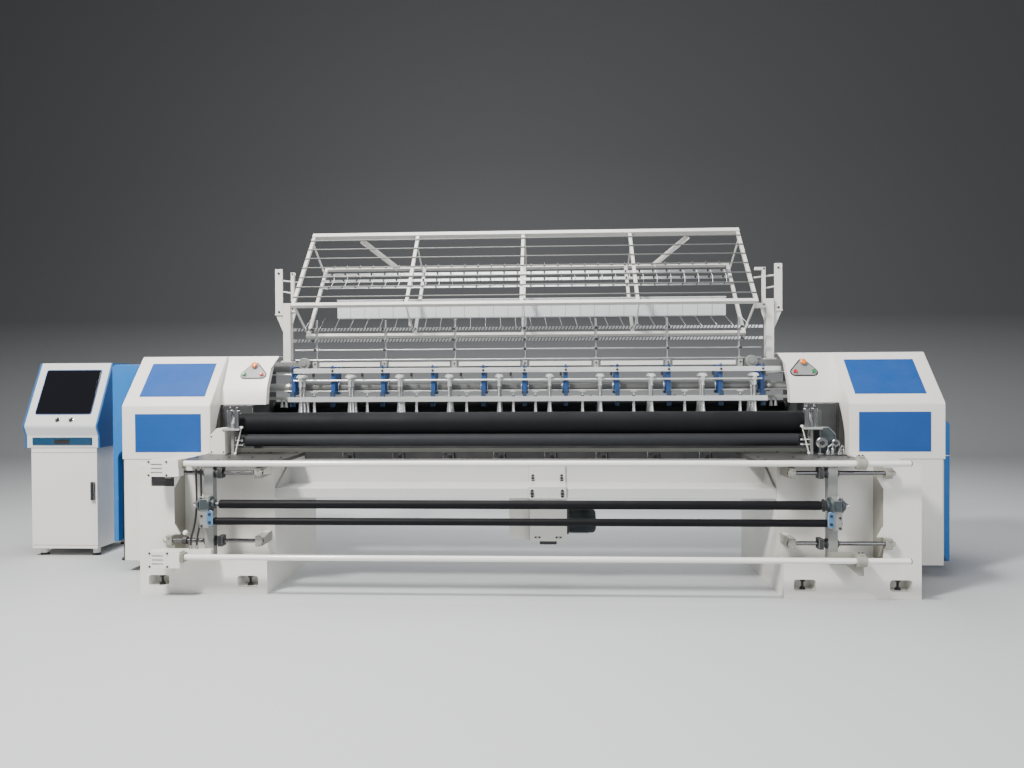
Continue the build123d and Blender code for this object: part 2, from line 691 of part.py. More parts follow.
write(casings.part, "side_casings")

# Blue front plates: one on each cover's upright face and one on its slope.
slope_length = hypot(COVER_CREST_Y - COVER_FRONT, COVER_TOP - COVER_BEND)
slope_out = (-(COVER_TOP - COVER_BEND) / slope_length * BLUE_T,
             (COVER_CREST_Y - COVER_FRONT) / slope_length * BLUE_T)
slope_low = between((COVER_FRONT, COVER_BEND), (COVER_CREST_Y, COVER_TOP),
                    (HIGH_PANEL_Z[0] - COVER_BEND) / (COVER_TOP - COVER_BEND))
slope_high = between((COVER_FRONT, COVER_BEND), (COVER_CREST_Y, COVER_TOP),
                     (HIGH_PANEL_Z[1] - COVER_BEND) / (COVER_TOP - COVER_BEND))
with BuildPart() as panels:
    for _, s in SIDES:
        block(span(s, *LOW_PANEL_X), (COVER_FRONT - BLUE_T, COVER_FRONT), LOW_PANEL_Z)
        side_prism((slope_low, slope_high,
                    (slope_high[0] + slope_out[0], slope_high[1] + slope_out[1]),
                    (slope_low[0] + slope_out[0], slope_low[1] + slope_out[1])),
                   span(s, *HIGH_PANEL_X))
write(panels.part, "blue_panels")

# Button plates on the hoods, with three holes each, and their push buttons.
hood_mid = between((HOOD_CREASE_Y, HOOD_CREASE_Z), (HOOD_CREST_Y, COVER_TOP), PLATE_SHARE)
hood_length = hypot(HOOD_CREST_Y - HOOD_CREASE_Y, COVER_TOP - HOOD_CREASE_Z)
hood_out = (0, -(COVER_TOP - HOOD_CREASE_Z) / hood_length,
            (HOOD_CREST_Y - HOOD_CREASE_Y) / hood_length)


def hood_plane(sign):
    """The plane of one hood's slope, with its origin at the button plate."""
    return Plane(origin=(sign * PLATE_X, *hood_mid), x_dir=(1, 0, 0), z_dir=hood_out)


BUTTON_SPOTS = {"stop": (0, BUTTON_UP), "start": (BUTTON_SIDE, BUTTON_DOWN),
                "jog": (-BUTTON_SIDE, BUTTON_DOWN)}
with BuildPart() as button_plates:
    for _, s in SIDES:
        with BuildSketch(hood_plane(s)):
            with Locations(*BUTTON_SPOTS.values()):
                Circle(PLATE_R)
            make_hull()
        extrude(amount=PLATE_T)
        with BuildSketch(hood_plane(s)):
            with Locations(*BUTTON_SPOTS.values()):
                Circle(STEM_R + BUTTON_CLEAR)
        extrude(amount=PLATE_T, mode=Mode.SUBTRACT)
write(button_plates.part, "button_plates")

for side, s in SIDES:
    for spot, (across, up) in BUTTON_SPOTS.items():
        head_r, head_h = (STOP_R, STOP_H) if spot == "stop" else (PUSH_R, PUSH_H)
        with BuildPart() as button:
            with BuildSketch(hood_plane(s).offset(STEM_FROM)):
                with Locations((across, up)):
                    Circle(STEM_R)
            extrude(amount=STEM_TO - STEM_FROM)
            with BuildSketch(hood_plane(s).offset(STEM_TO)):
                with Locations((across, up)):
                    Circle(head_r)
            extrude(amount=head_h)
        write(button.part, f"{side}_{spot}_button")

# Side frames under the hoods: plates with a deep rim, open towards the cover.
frame_outline = ((FRAME_FRONT, STAND_H), (FRAME_FRONT, FRAME_NOTCH_Z),
                 (FRAME_NOTCH_Y, FRAME_NOTCH_Z), (FRAME_NOTCH_Y, FRAME_LEAN[1]),
                 (FRAME_LEAN[0], FRAME_TOP), (FRAME_BACK, FRAME_TOP), (FRAME_BACK, STAND_H))
frame_inside = ((FRAME_FRONT + FRAME_WALL, STAND_H + FRAME_WALL),
                (FRAME_FRONT + FRAME_WALL, FRAME_NOTCH_Z - FRAME_WALL),
                (FRAME_NOTCH_Y + FRAME_WALL, FRAME_NOTCH_Z - FRAME_WALL),
                (FRAME_NOTCH_Y + FRAME_WALL, FRAME_LEAN[1] - FRAME_WALL / 2),
                (FRAME_LEAN[0] + FRAME_WALL / 2, FRAME_TOP - FRAME_WALL),
                (FRAME_BACK - FRAME_WALL, FRAME_TOP - FRAME_WALL),
                (FRAME_BACK - FRAME_WALL, STAND_H + FRAME_WALL))
with BuildPart() as side_frames:
    for _, s in SIDES:
        side_prism(frame_outline, span(s, FRAME_IN, FRAME_OUT))
        side_prism(frame_inside, span(s, FRAME_IN + FRAME_WALL, FRAME_OUT + PAST),
                   mode=Mode.SUBTRACT)
write(side_frames.part, "side_frames")

# Head beam between the side frames: a square tube with a turned cap near each end
# of its front.
cap_profile = ((BEAM_Y[0], CAP_Z), (BEAM_Y[0], CAP_Z + CAP_NECK_R),
               (CAP_Y[1], CAP_Z + CAP_NECK_R), (CAP_Y[1], CAP_Z + CAP_R),
               (CAP_Y[0] + CAP_EDGE, CAP_Z + CAP_R), (CAP_Y[0], CAP_Z + CAP_R - CAP_EDGE),
               (CAP_Y[0], CAP_Z + CAP_HUB_R), (CAP_Y[0] - CAP_HUB_T, CAP_Z + CAP_HUB_R),
               (CAP_Y[0] - CAP_HUB_T, CAP_Z))
beam_inside_y = (BEAM_Y[0] + BOX_WALL, BEAM_Y[1] - BOX_WALL)
with BuildPart() as head_beam:
    block((-FRAME_IN, FRAME_IN), BEAM_Y, BEAM_Z)
    block((-FRAME_IN, FRAME_IN), beam_inside_y, (BEAM_Z[0] + BOX_WALL, BEAM_Z[1] - BOX_WALL),
          mode=Mode.SUBTRACT)
    for _, s in SIDES:
        with BuildSketch(Plane.YZ.offset(s * CAP_X)):
            with BuildLine():
                Polyline(*cap_profile, close=True)
            make_face()
        revolve(axis=Axis((s * CAP_X, 0, CAP_Z), (0, 1, 0)))
write(head_beam.part, "head_beam")

# Blue hangers under the head beam: each holds the main shaft in its boss, and its
# tongue guides the presser rails between their first two rows.
hanger_xs = sorted({s * x for x in BRACKET_XS for s in (-1, 1)})
hanger_outline = ((HANGER_FRONT, HANGER_LOW), (HANGER_BACK, HANGER_LOW), (HANGER_BACK, BEAM_Z[0]),
                  (BEAM_Y[0], BEAM_Z[0]), (BEAM_Y[0], HANGER_TOP), (HANGER_FRONT, HANGER_TOP))
tongue_y = (ROW_Y[0] + RAIL_T / 2 + RUN_CLEAR, ROW_Y[1] - RAIL_T / 2 - RUN_CLEAR)
with BuildPart() as hangers:
    for x in hanger_xs:
        side_prism(hanger_outline, (x - BRACKET_W / 2, x + BRACKET_W / 2),
                   rounds=((hanger_outline[1], HANGER_R),))
        block((x - BRACKET_W / 2, x + BRACKET_W / 2), tongue_y, TONGUE_Z)
        x_rod((x - BOSS_W / 2, x + BOSS_W / 2), MAIN_Y, MAIN_Z, BOSS_R)
        x_rod((x - BOSS_W / 2, x + BOSS_W / 2), MAIN_Y, MAIN_Z, MAIN_R + RUN_CLEAR,
              mode=Mode.SUBTRACT)
write(hangers.part, "shaft_hangers")

# Flat bar across the front of the hangers.
with BuildPart() as guide_bar:
    block(GUIDE_BAR_X, (HANGER_FRONT - GUIDE_BAR_T, HANGER_FRONT), GUIDE_BAR_Z)
write(guide_bar.part, "guide_bar")

# Main shaft, which turns in the hangers.
with BuildPart() as main_shaft:
    x_rod((-MAIN_HALF, MAIN_HALF), MAIN_Y, MAIN_Z, MAIN_R)
write(main_shaft.part, "main_shaft")

# Bed beam: a hollow section with two webs and the bearings of the hook shafts.
with BuildPart() as bed:
    block((-FRAME_IN, FRAME_IN), BED_Y, BED_Z)
    block((-FRAME_IN, FRAME_IN), (BED_Y[0] + BOX_WALL, BED_Y[1] - BOX_WALL),
          (BED_Z[0] + BOX_WALL, BED_Z[1] - BOX_WALL), mode=Mode.SUBTRACT)
    for web in ((BED_Y[0], BED_Y[0] + BED_WALL), (BED_Y[1] - BED_WALL, BED_Y[1])):
        block((-PLATE_HALF, PLATE_HALF), web, (BED_Z[1], PLATE_Z[0]))
    for x in PILLOW_XS:
        block((x - PILLOW_W / 2, x + PILLOW_W / 2), PILLOW_Y, (BED_Z[1], PILLOW_TOP))
        for y in ROW_Y[:2]:
            x_rod((x - PILLOW_W / 2, x + PILLOW_W / 2), y, HOOK_Z, HOOK_SHAFT_R + RUN_CLEAR,
                  mode=Mode.SUBTRACT)
write(bed.part, "bed_beam")

# Needle plate with a hole under each needle.
rod_xs = [(i - (ROD_COUNT - 1) / 2) * ROD_PITCH for i in range(ROD_COUNT)]
with BuildPart() as needle_plate:
    block((-PLATE_HALF, PLATE_HALF), PLATE_Y, PLATE_Z)
    with BuildSketch(Plane.XY.offset(PLATE_Z[0])):
        with Locations(*[(x, y) for x in rod_xs for y in ROW_Y[:2]]):
            Circle(HOLE_R)
    extrude(amount=PLATE_Z[1] - PLATE_Z[0], mode=Mode.SUBTRACT)
write(needle_plate.part, "needle_plate")

# Hook shafts: one under each needle row, with a hook disc beside each needle.
for name, y in (("front_hook_shaft", ROW_Y[0]), ("rear_hook_shaft", ROW_Y[1])):
    with BuildPart() as hook_shaft:
        x_rod((-HOOK_SHAFT_HALF, HOOK_SHAFT_HALF), y, HOOK_Z, HOOK_SHAFT_R)
    with BuildPart() as hooks:
        for x in rod_xs:
            middle = x + HOOK_ASIDE
            x_rod((middle - HOOK_W / 2, middle + HOOK_W / 2), y, HOOK_Z, HOOK_R)
            x_rod((middle - HOOK_W / 2, middle + HOOK_W / 2), y, HOOK_Z, HOOK_SHAFT_R,
                  mode=Mode.SUBTRACT)
    write(Compound(hook_shaft.part.solids() + hooks.part.solids()), name)

# Presser rails: three bars and the ties that join them.
with BuildPart() as rails:
    for y in ROW_Y:
        block((-RAIL_HALF, RAIL_HALF), (y - RAIL_T / 2, y + RAIL_T / 2), RAIL_Z)
    for x in TIE_XS:
        for s in (-1, 1):
            block((s * x - TIE_W / 2, s * x + TIE_W / 2), (ROW_Y[0], ROW_Y[-1]), RAIL_Z)
    with BuildSketch(Plane.XY.offset(RAIL_Z[0])):
        with Locations(*[(x, y) for x in rod_xs for y in ROW_Y[:2]]):
            Circle(BORE_R)
    extrude(amount=RAIL_Z[1] - RAIL_Z[0], mode=Mode.SUBTRACT)
write(rails.part, "presser_rails")

# Presser feet: cones that hang from the rails, bored for the needle bars, and
# narrower ones without a bore under the presser pins.
with BuildPart() as feet:
    for x in rod_xs:
        for y in ROW_Y:
            with Locations((x, y, (FOOT_Z[0] + FOOT_Z[1]) / 2)):
                Cone(FOOT_LOW_R, FOOT_TOP_R, FOOT_Z[1] - FOOT_Z[0])
            z_rod(x, y, (FOOT_Z[1], RAIL_Z[0]), FOOT_NECK_R)
            z_rod(x, y, (FOOT_Z[0], RAIL_Z[0]), BORE_R, mode=Mode.SUBTRACT)
    for x in PIN_XS:
        with Locations(*[(s * x, ROW_Y[0], (FOOT_Z[0] + RAIL_Z[0]) / 2) for s in (-1, 1)]):
            Cone(PIN_FOOT_LOW_R, PIN_FOOT_TOP_R, RAIL_Z[0] - FOOT_Z[0])
write(feet.part, "presser_feet")

# Presser pins: short rods with flat heads on the front rail.
with BuildPart() as pins:
    for x in PIN_XS:
        for s in (-1, 1):
            z_rod(s * x, ROW_Y[0], (RAIL_Z[1], PIN_TOP), PIN_R)
            block((s * x - PIN_HEAD[0] / 2, s * x + PIN_HEAD[0] / 2),
                  (ROW_Y[0] - PIN_HEAD[1] / 2, ROW_Y[0] + PIN_HEAD[1] / 2),
                  (PIN_TOP, PIN_TOP + PIN_HEAD[2]))
write(pins.part, "presser_pins")

# Needle rods in two rows, joined in pairs by their yokes, and their drive bar.
bar_y = (ROW_Y[0] + ROW_Y[1]) / 2
with BuildPart() as rods:
    x_rod((-DRIVE_BAR_HALF, DRIVE_BAR_HALF), bar_y, YOKE_Z[0] - DRIVE_BAR_R, DRIVE_BAR_R)
    for x in rod_xs:
        block((x - YOKE_W / 2, x + YOKE_W / 2), (ROW_Y[0] - YOKE_OVER, ROW_Y[1] + YOKE_OVER),
              (YOKE_Z[0] - DRIVE_BAR_R, YOKE_Z[1]))
        for y in ROW_Y[:2]:
            z_rod(x, y, (ROD_LOW, YOKE_Z[0]), ROD_R)
            z_rod(x, y, (NEEDLE_BAR_LOW, ROD_LOW), NEEDLE_BAR_R)
write(rods.part, "needle_rods")

# Needles at the ends of the rods.
with BuildPart() as needles:
    for x in rod_xs:
        for y in ROW_Y[:2]:
            z_rod(x, y, (NEEDLE_TIP, NEEDLE_BAR_LOW), NEEDLE_R)
write(needles.part, "needles")

# Carriage frames: on each side an upright on the guide shafts, the deck plate
# above the stand, and the end plate that holds the feed rollers.
deck_out = END_PLATE_IN + DECK_PAST_PLATE
with BuildPart() as carriage:
    for _, s in SIDES:
        upright_x = carried(s, UPRIGHT_X - UPRIGHT_W / 2, UPRIGHT_X + UPRIGHT_W / 2)
        block(upright_x, (UPRIGHT_FRONT, UPRIGHT_BACK), (UPRIGHT_LOW, DECK_Z))
        for z in SHAFT_ZS:
            x_rod(upright_x, SHAFT_Y, z, SHAFT_R + RUN_CLEAR, mode=Mode.SUBTRACT)
        block(carried(s, DECK_IN, deck_out), (DECK_FRONT, DECK_BACK), (DECK_Z, DECK_Z + DECK_T))
        side_prism(((UPRIGHT_BACK, DECK_Z - GUSSET_DROP), (UPRIGHT_BACK + GUSSET_RUN, DECK_Z),
                    (UPRIGHT_BACK, DECK_Z)),
                   carried(s, UPRIGHT_X - GUSSET_T / 2, UPRIGHT_X + GUSSET_T / 2))
        plate_x = carried(s, END_PLATE_IN, END_PLATE_IN + END_PLATE_T)
        side_prism(((END_PLATE_FRONT, DECK_Z + DECK_T),
                    (END_PLATE_FRONT, END_PLATE_TOP - END_PLATE_CUT),
                    (END_PLATE_FRONT + END_PLATE_CUT, END_PLATE_TOP),
                    (DECK_BACK, END_PLATE_TOP), (DECK_BACK, DECK_Z + DECK_T)), plate_x)
        for y, z in ((UPPER_ROLL_Y, UPPER_ROLL_Z), (LOWER_ROLL_Y, LOWER_ROLL_Z)):
            x_rod(plate_x, y, z, ROLL_JOURNAL_R + RUN_CLEAR, mode=Mode.SUBTRACT)
write(carriage.part, "carriage_frame")

# Bar under the lower feed roller.
with BuildPart() as feed_strip:
    block((CARRIAGE_X - END_PLATE_IN, CARRIAGE_X + END_PLATE_IN), STRIP_Y, STRIP_Z)
write(feed_strip.part, "feed_strip")

# Rollers: a body between two journals.
housing_out = UPRIGHT_X + UPRIGHT_W / 2
ROLLERS = (
    ("upper_feed_roller", UPPER_ROLL_Y, UPPER_ROLL_Z, UPPER_ROLL_R, UPPER_ROLL_HALF,
     ROLL_JOURNAL_R, END_PLATE_IN + END_PLATE_T + JOURNAL_OUT),
    ("lower_feed_roller", LOWER_ROLL_Y, LOWER_ROLL_Z, LOWER_ROLL_R, LOWER_ROLL_HALF,
     ROLL_JOURNAL_R, END_PLATE_IN + END_PLATE_T + JOURNAL_OUT),
    ("upper_nip_roller", NIP_Y, NIP_A_Z, NIP_A_R, NIP_A_HALF,
     NIP_JOURNAL_R, housing_out + JOURNAL_OUT),
    ("lower_nip_roller", NIP_Y, NIP_B_Z, NIP_B_R, NIP_B_HALF,
     NIP_JOURNAL_R, housing_out + JOURNAL_OUT))
for name, y, z, radius, half, journal_r, journal_end in ROLLERS:
    with BuildPart() as roller:
        x_rod((CARRIAGE_X - half, CARRIAGE_X + half), y, z, radius)
        x_rod((CARRIAGE_X - journal_end, CARRIAGE_X + journal_end), y, z, journal_r)
    write(roller.part, name)

# Housings of the two lower rollers, on the front of the uprights.
with BuildPart() as housings:
    for _, s in SIDES:
        housing_x = carried(s, UPRIGHT_X - UPRIGHT_W / 2, housing_out)
        block(housing_x, (HOUSING_FRONT, UPRIGHT_FRONT), HOUSING_Z)
        for z in (NIP_A_Z, NIP_B_Z):
            x_rod(housing_x, NIP_Y, z, NIP_JOURNAL_R + RUN_CLEAR, mode=Mode.SUBTRACT)
write(housings.part, "roller_housings")

# Drive boxes beside the end plates and the lifting cylinders above them.
with BuildPart() as lift_drives:
    for _, s in SIDES:
        low, high = BOX_X
        outline = ((s * low + CARRIAGE_X, DECK_Z + DECK_T), (s * high + CARRIAGE_X, DECK_Z + DECK_T),
                   (s * high + CARRIAGE_X, BOX_TOP - BOX_CHAMFER),
                   (s * (high - BOX_CHAMFER) + CARRIAGE_X, BOX_TOP), (s * low + CARRIAGE_X, BOX_TOP))
        front_prism(outline, BOX_Y)
        plate_out = END_PLATE_IN + END_PLATE_T
        z_rod(s * (plate_out + CYLINDER_R) + CARRIAGE_X, CYLINDER_Y, CYLINDER_Z, CYLINDER_R)
write(lift_drives.part, "lift_drives")

# Front guide tubes and the brackets that hold them to the carriage: slotted boxes
# on the left, and rings with a slanted arm below on the right.
with BuildPart() as tubes:
    for z in (TUBE_TOP_Z, TUBE_LOW_Z):
        x_rod(TUBE_X, TUBE_Y, z, TUBE_R)
write(tubes.part, "front_tubes")

left_post = CARRIAGE_X - UPRIGHT_X + UPRIGHT_W / 2
right_post = CARRIAGE_X + UPRIGHT_X - UPRIGHT_W / 2
with BuildPart() as tube_brackets:
    block(BRACKET_X, BRACKET_Y, BRACKET_TOP_Z)
    block((CARRIAGE_X - deck_out, BRACKET_X[1]), (BRACKET_Y[1], DECK_FRONT),
          (DECK_Z, BRACKET_TOP_Z[1]))
    block(BRACKET_X, BRACKET_Y, BRACKET_LOW_Z)
    block((BRACKET_X[0] + BLOCK_W, left_post), (BRACKET_Y[1], UPRIGHT_FRONT),
          (UPRIGHT_LOW, BRACKET_LOW_Z[1]))
    for z, top, back in ((TUBE_TOP_Z, DECK_Z + DECK_T, DECK_FRONT),
                         (TUBE_LOW_Z, BRACKET_LOW_Z[1], UPRIGHT_FRONT)):
        x_rod(RING_X, TUBE_Y, z, RING_R)
        inner = RING_X[0] if z > BRACKET_LOW_Z[1] else right_post
        low = DECK_Z if z > BRACKET_LOW_Z[1] else UPRIGHT_LOW
        block((inner, RING_X[1]), (BRACKET_Y[1], back), (low, top))
        block(RING_X, (TUBE_Y, BRACKET_Y[1]), (low, top))
    arm_top = TUBE_LOW_Z - ARM_RISE
    front_prism(((RING_X[0] - ARM_REACH, arm_top), (RING_X[1] - ARM_TIP, TUBE_LOW_Z - ARM_DROP),
                 (RING_X[1], TUBE_LOW_Z - ARM_DROP), (RING_X[1], arm_top)),
                (BRACKET_Y[1] - ARM_T, BRACKET_Y[1]))
    with BuildSketch(Plane.XZ.offset(-BRACKET_Y[0])):
        with Locations(*[(BRACKET_SLOT_X, (low + high) / 2 + i * BRACKET_SLOT_STEP)
                         for low, high in (BRACKET_TOP_Z, BRACKET_LOW_Z) for i in (-1, 0, 1)]):
            SlotOverall(*BRACKET_SLOT)
    extrude(amount=-BRACKET_SLOT_DEEP, mode=Mode.SUBTRACT)
    for z in (TUBE_TOP_Z, TUBE_LOW_Z):
        x_rod(TUBE_X, TUBE_Y, z, TUBE_R, mode=Mode.SUBTRACT)
write(tube_brackets.part, "tube_brackets")

# Thread rack: four rails, the flat braces across each frame, and the legs. Each
# leg ends on its rails, and each brace lies against the sides of its two legs.
frame_xs = [RACK_X + i * RACK_HALF / 2 for i in (-2, -1, 0, 1, 2)]
front_length = hypot(FRONT_TOP[0] - FRONT_LOW[0], FRONT_TOP[1] - FRONT_LOW[1])
back_length = hypot(BACK_TOP[0] - BACK_LOW[0], BACK_TOP[1] - BACK_LOW[1])
front_angle = angle_of(FRONT_LOW, FRONT_TOP)
back_angle = angle_of(BACK_LOW, BACK_TOP)
rack_half = RACK_HALF + LEG_W / 2
rack_x = (RACK_X - rack_half, RACK_X + rack_half)
with BuildPart() as rack:
    for spot, size, angle in ((FRONT_TOP, TOP_BAR, front_angle), (FRONT_LOW, RACK_BAR, front_angle),
                              (BACK_TOP, RACK_BAR, back_angle), (BACK_LOW, RACK_BAR, back_angle)):
        with Locations(Location((RACK_X, *spot), (angle, 0, 0))):
            Box(2 * rack_half, size, size)
    for x in frame_xs:
        out = -1 if x < RACK_X else 1
        brace_x = span(1, x + out * LEG_W / 2, x + out * (LEG_W / 2 + BRACE_T))
        for share in (BRACE_SHARE, 1 - BRACE_SHARE):
            slant_bar(between(FRONT_LOW, FRONT_TOP, share), between(BACK_LOW, BACK_TOP, share),
                      brace_x, LEG_W)
write(rack.part, "rack_rails")

front_from = between(FRONT_LOW, FRONT_TOP, RACK_BAR / 2 / front_length)
front_to = between(FRONT_TOP, FRONT_LOW, TOP_BAR / 2 / front_length)
back_from = between(BACK_LOW, BACK_TOP, RACK_BAR / 2 / back_length)
back_to = between(BACK_TOP, BACK_LOW, RACK_BAR / 2 / back_length)
with BuildPart() as legs:
    for x in frame_xs:
        leg_x = (x - LEG_W / 2, x + LEG_W / 2)
        slant_bar(front_from, front_to, leg_x, LEG_W)
        slant_bar(back_from, back_to, leg_x, LEG_W)
write(legs.part, "rack_legs")

# Guide rods along the front of the legs, and flat strips along the rear legs.
front_out = (-(FRONT_TOP[1] - FRONT_LOW[1]) / front_length,
             (FRONT_TOP[0] - FRONT_LOW[0]) / front_length)
back_out = (-(BACK_TOP[1] - BACK_LOW[1]) / back_length,
            (BACK_TOP[0] - BACK_LOW[0]) / back_length)
rod_step = (GUIDE_SHARES[1] - GUIDE_SHARES[0]) / (GUIDE_RODS - 1)
with BuildPart() as guide_rods:
    for i in range(GUIDE_RODS):
        y, z = between(FRONT_LOW, FRONT_TOP, GUIDE_SHARES[0] + i * rod_step)
        reach = LEG_W / 2 + GUIDE_ROD_R
        x_rod(rack_x, y + front_out[0] * reach, z + front_out[1] * reach, GUIDE_ROD_R)
write(guide_rods.part, "guide_rods")

with BuildPart() as clips:
    for share in STRIP_SHARES:
        y, z = between(BACK_LOW, BACK_TOP, share)
        reach = (LEG_W + CLIP_T) / 2
        spot = (RACK_X, y + back_out[0] * reach, z + back_out[1] * reach)
        with Locations(Location(spot, (back_angle, 0, 0))):
            Box(2 * rack_half, CLIP_W, CLIP_T)
write(clips.part, "thread_clips")

# Thread tray: a long open box on feet that hang on the three middle frames.
brace_low = between(FRONT_LOW, FRONT_TOP, BRACE_SHARE)
brace_high = between(BACK_LOW, BACK_TOP, BRACE_SHARE)
tray_mid = (TRAY_Y[0] + TRAY_Y[1]) / 2
brace_z = brace_low[1] + (brace_high[1] - brace_low[1]) * (
    (tray_mid - brace_low[0]) / (brace_high[0] - brace_low[0]))
with BuildPart() as tray:
    block(TRAY_X, TRAY_Y, TRAY_Z)
    block((TRAY_X[0] + TRAY_T, TRAY_X[1] - TRAY_T), (TRAY_Y[0] + TRAY_T, TRAY_Y[1] - TRAY_T),
          (TRAY_Z[0] + TRAY_T, TRAY_Z[1] + PAST), mode=Mode.SUBTRACT)
    for x in frame_xs[1:4]:
        out = -1 if x < RACK_X else 1
        face = x + out * (LEG_W / 2 + BRACE_T)
        block(span(1, face, face + out * TRAY_FOOT[0]),
              (tray_mid - TRAY_FOOT[1] / 2, tray_mid + TRAY_FOOT[1] / 2),
              (brace_z - TRAY_FOOT[1] / 2, TRAY_Z[0]))
write(tray.part, "thread_tray")

# Posts on the head beam with the tension bars and wires that they carry.
post_xs = [(i - (POST_COUNT - 1) / 2) * POST_PITCH for i in range(POST_COUNT)]
with BuildPart() as combs:
    for z in COMB_ZS:
        block((-COMB_HALF, COMB_HALF), (COMB_Y - COMB_T / 2, COMB_Y + COMB_T / 2),
              (z - COMB_H / 2, z + COMB_H / 2))
    for z in WIRE_ZS:
        x_rod((-COMB_HALF, COMB_HALF), WIRE_Y, z, WIRE_R)
    for x in post_xs:
        for z, front in [(z, COMB_Y) for z in COMB_ZS] + [(z, WIRE_Y) for z in WIRE_ZS]:
            block((x - ARM_W / 2, x + ARM_W / 2), (front, POST_Y), (z - ARM_W / 2, z + ARM_W / 2))
        z_rod(x, POST_Y, (BEAM_Z[1], POST_TOP), POST_R)
write(combs.part, "tension_bars")

# Rack supports: a column on each end of the head beam, with its ear and claw.
with BuildPart() as supports:
    for _, s in SIDES:
        rack_end = RACK_X + s * (rack_half + BRACE_T)
        block(span(s, *COLUMN_X), COLUMN_Y, (BEAM_Z[1], COLUMN_TOP))
        block(span(1, rack_end, s * COLUMN_X[0]), STUB_Y, STUB_Z)
        block(span(s, *CLAW_X), STUB_Y, CLAW_Z)
        for z in (CLAW_Z[0], CLAW_Z[1] - CLAW_ARM):
            block(span(1, rack_end + s * CLAW_GAP, s * CLAW_X[1]), STUB_Y, (z, z + CLAW_ARM))
        block(span(s, COLUMN_X[0], EAR_X[1]), STUB_Y, (EAR_Z[0], EAR_Z[0] + EAR_T))
        block(span(s, *EAR_X), (POST_Y, POST_Y + EAR_T), EAR_Z)
write(supports.part, "rack_supports")

# Cabinet body: an open box on four feet with a lip above and below the door.
cab_mid_x = (CAB_X[0] + CAB_X[1]) / 2
pivot = (CAB_X[0] + PIVOT_IN, LIP_Y + PIVOT_IN)
with BuildPart() as cabinet:
    block(CAB_X, CAB_Y, CAB_Z)
    block((CAB_X[0] + CAB_T, CAB_X[1] - CAB_T), (CAB_Y[0] - PAST, CAB_Y[1] - CAB_T),
          (CAB_Z[0] + CAB_T, CAB_Z[1] - CAB_T), mode=Mode.SUBTRACT)
    block(CAB_X, (LIP_Y, CAB_Y[0]), (CAB_Z[0], LIP_LOW))
    block(CAB_X, (LIP_Y, CAB_Y[0]), (LIP_HIGH, CAB_Z[1]))
    block(CAB_X, (CAB_Y[0], CAB_Y[0] + CAB_T), (CAB_Z[0], LIP_LOW))
    block(CAB_X, (CAB_Y[0], CAB_Y[0] + CAB_T), (LIP_HIGH, CAB_Z[1]))
    z_rod(*pivot, (LIP_LOW - PIVOT_L, LIP_HIGH + PIVOT_L), PIVOT_R + RUN_CLEAR,
          mode=Mode.SUBTRACT)
    for x in (CAB_X[0] + CAB_FOOT_IN, CAB_X[1] - CAB_FOOT_IN):
        for y in (CAB_Y[0] + CAB_FOOT_IN, CAB_Y[1] - CAB_FOOT_IN):
            z_rod(x, y, (0, CAB_Z[0]), CAB_FOOT_R)
write(cabinet.part, "cabinet_body")

# Door with its pivot pins and its handle.
with BuildPart() as door:
    block(CAB_X, (LIP_Y, LIP_Y + DOOR_T), (LIP_LOW + DOOR_GAP, LIP_HIGH - DOOR_GAP))
    z_rod(*pivot, (LIP_LOW - PIVOT_L + DOOR_GAP, LIP_HIGH + PIVOT_L - DOOR_GAP), PIVOT_R)
    block(HANDLE_X, (LIP_Y - HANDLE_T, LIP_Y), HANDLE_Z)
write(door.part, "cabinet_door")

# Console: a desk that leans back over a rounded nose, with its front set in
# between two cheeks and a place for the drawer.
nose_to_crest = hypot(CREST[0] - NOSE[0], CREST[1] - NOSE[1])
face_out = (0, -(CREST[1] - NOSE[1]) / nose_to_crest, (CREST[0] - NOSE[0]) / nose_to_crest)


def face_plane(x, up, out):
    """The plane of the console's face, at a height along it and out from it."""
    y, z = between(NOSE, CREST, up / nose_to_crest)
    origin = (x, y + FACE_IN + face_out[1] * out, z + face_out[2] * out)
    return Plane(origin=origin, x_dir=(1, 0, 0), z_dir=face_out)


console_mid = (CONSOLE_X[0] + CONSOLE_X[1]) / 2
console_outline = ((CONSOLE_FRONT, CONSOLE_LOW), (CONSOLE_FRONT, CONSOLE_BREAK_Z), NOSE, CREST,
                   (CONSOLE_BACK, CREST[1]), (CONSOLE_BACK, CONSOLE_LOW))
with BuildPart() as console:
    side_prism([(y + FACE_IN, z) for y, z in console_outline[:4]] + list(console_outline[4:]),
               (CONSOLE_X[0] + CONSOLE_CHEEK, CONSOLE_X[1] - CONSOLE_CHEEK),
               rounds=(((NOSE[0] + FACE_IN, NOSE[1]), NOSE_R),
                       ((CREST[0] + FACE_IN, CREST[1]), CREST_R)))
    for cheek in ((CONSOLE_X[0], CONSOLE_X[0] + CONSOLE_CHEEK),
                  (CONSOLE_X[1] - CONSOLE_CHEEK, CONSOLE_X[1])):
        side_prism(console_outline, cheek, rounds=((NOSE, NOSE_R), (CREST, CREST_R)))
    block((DRAWER_X[0] - DRAWER_SIDE, DRAWER_X[1] + DRAWER_SIDE),
          (CONSOLE_FRONT - PAST, CONSOLE_FRONT + DRAWER_DEEP + DRAWER_SIDE),
          (DRAWER_Z[0] - RUN_CLEAR, DRAWER_Z[1] + DRAWER_SIDE), mode=Mode.SUBTRACT)
    for x in KNOB_XS:
        with BuildSketch(face_plane(x, KNOB_UP, -KNOB_STEM_L)):
            Circle(KNOB_STEM_R + RUN_CLEAR)
        extrude(amount=KNOB_STEM_L + PAST, mode=Mode.SUBTRACT)
write(console.part, "console")

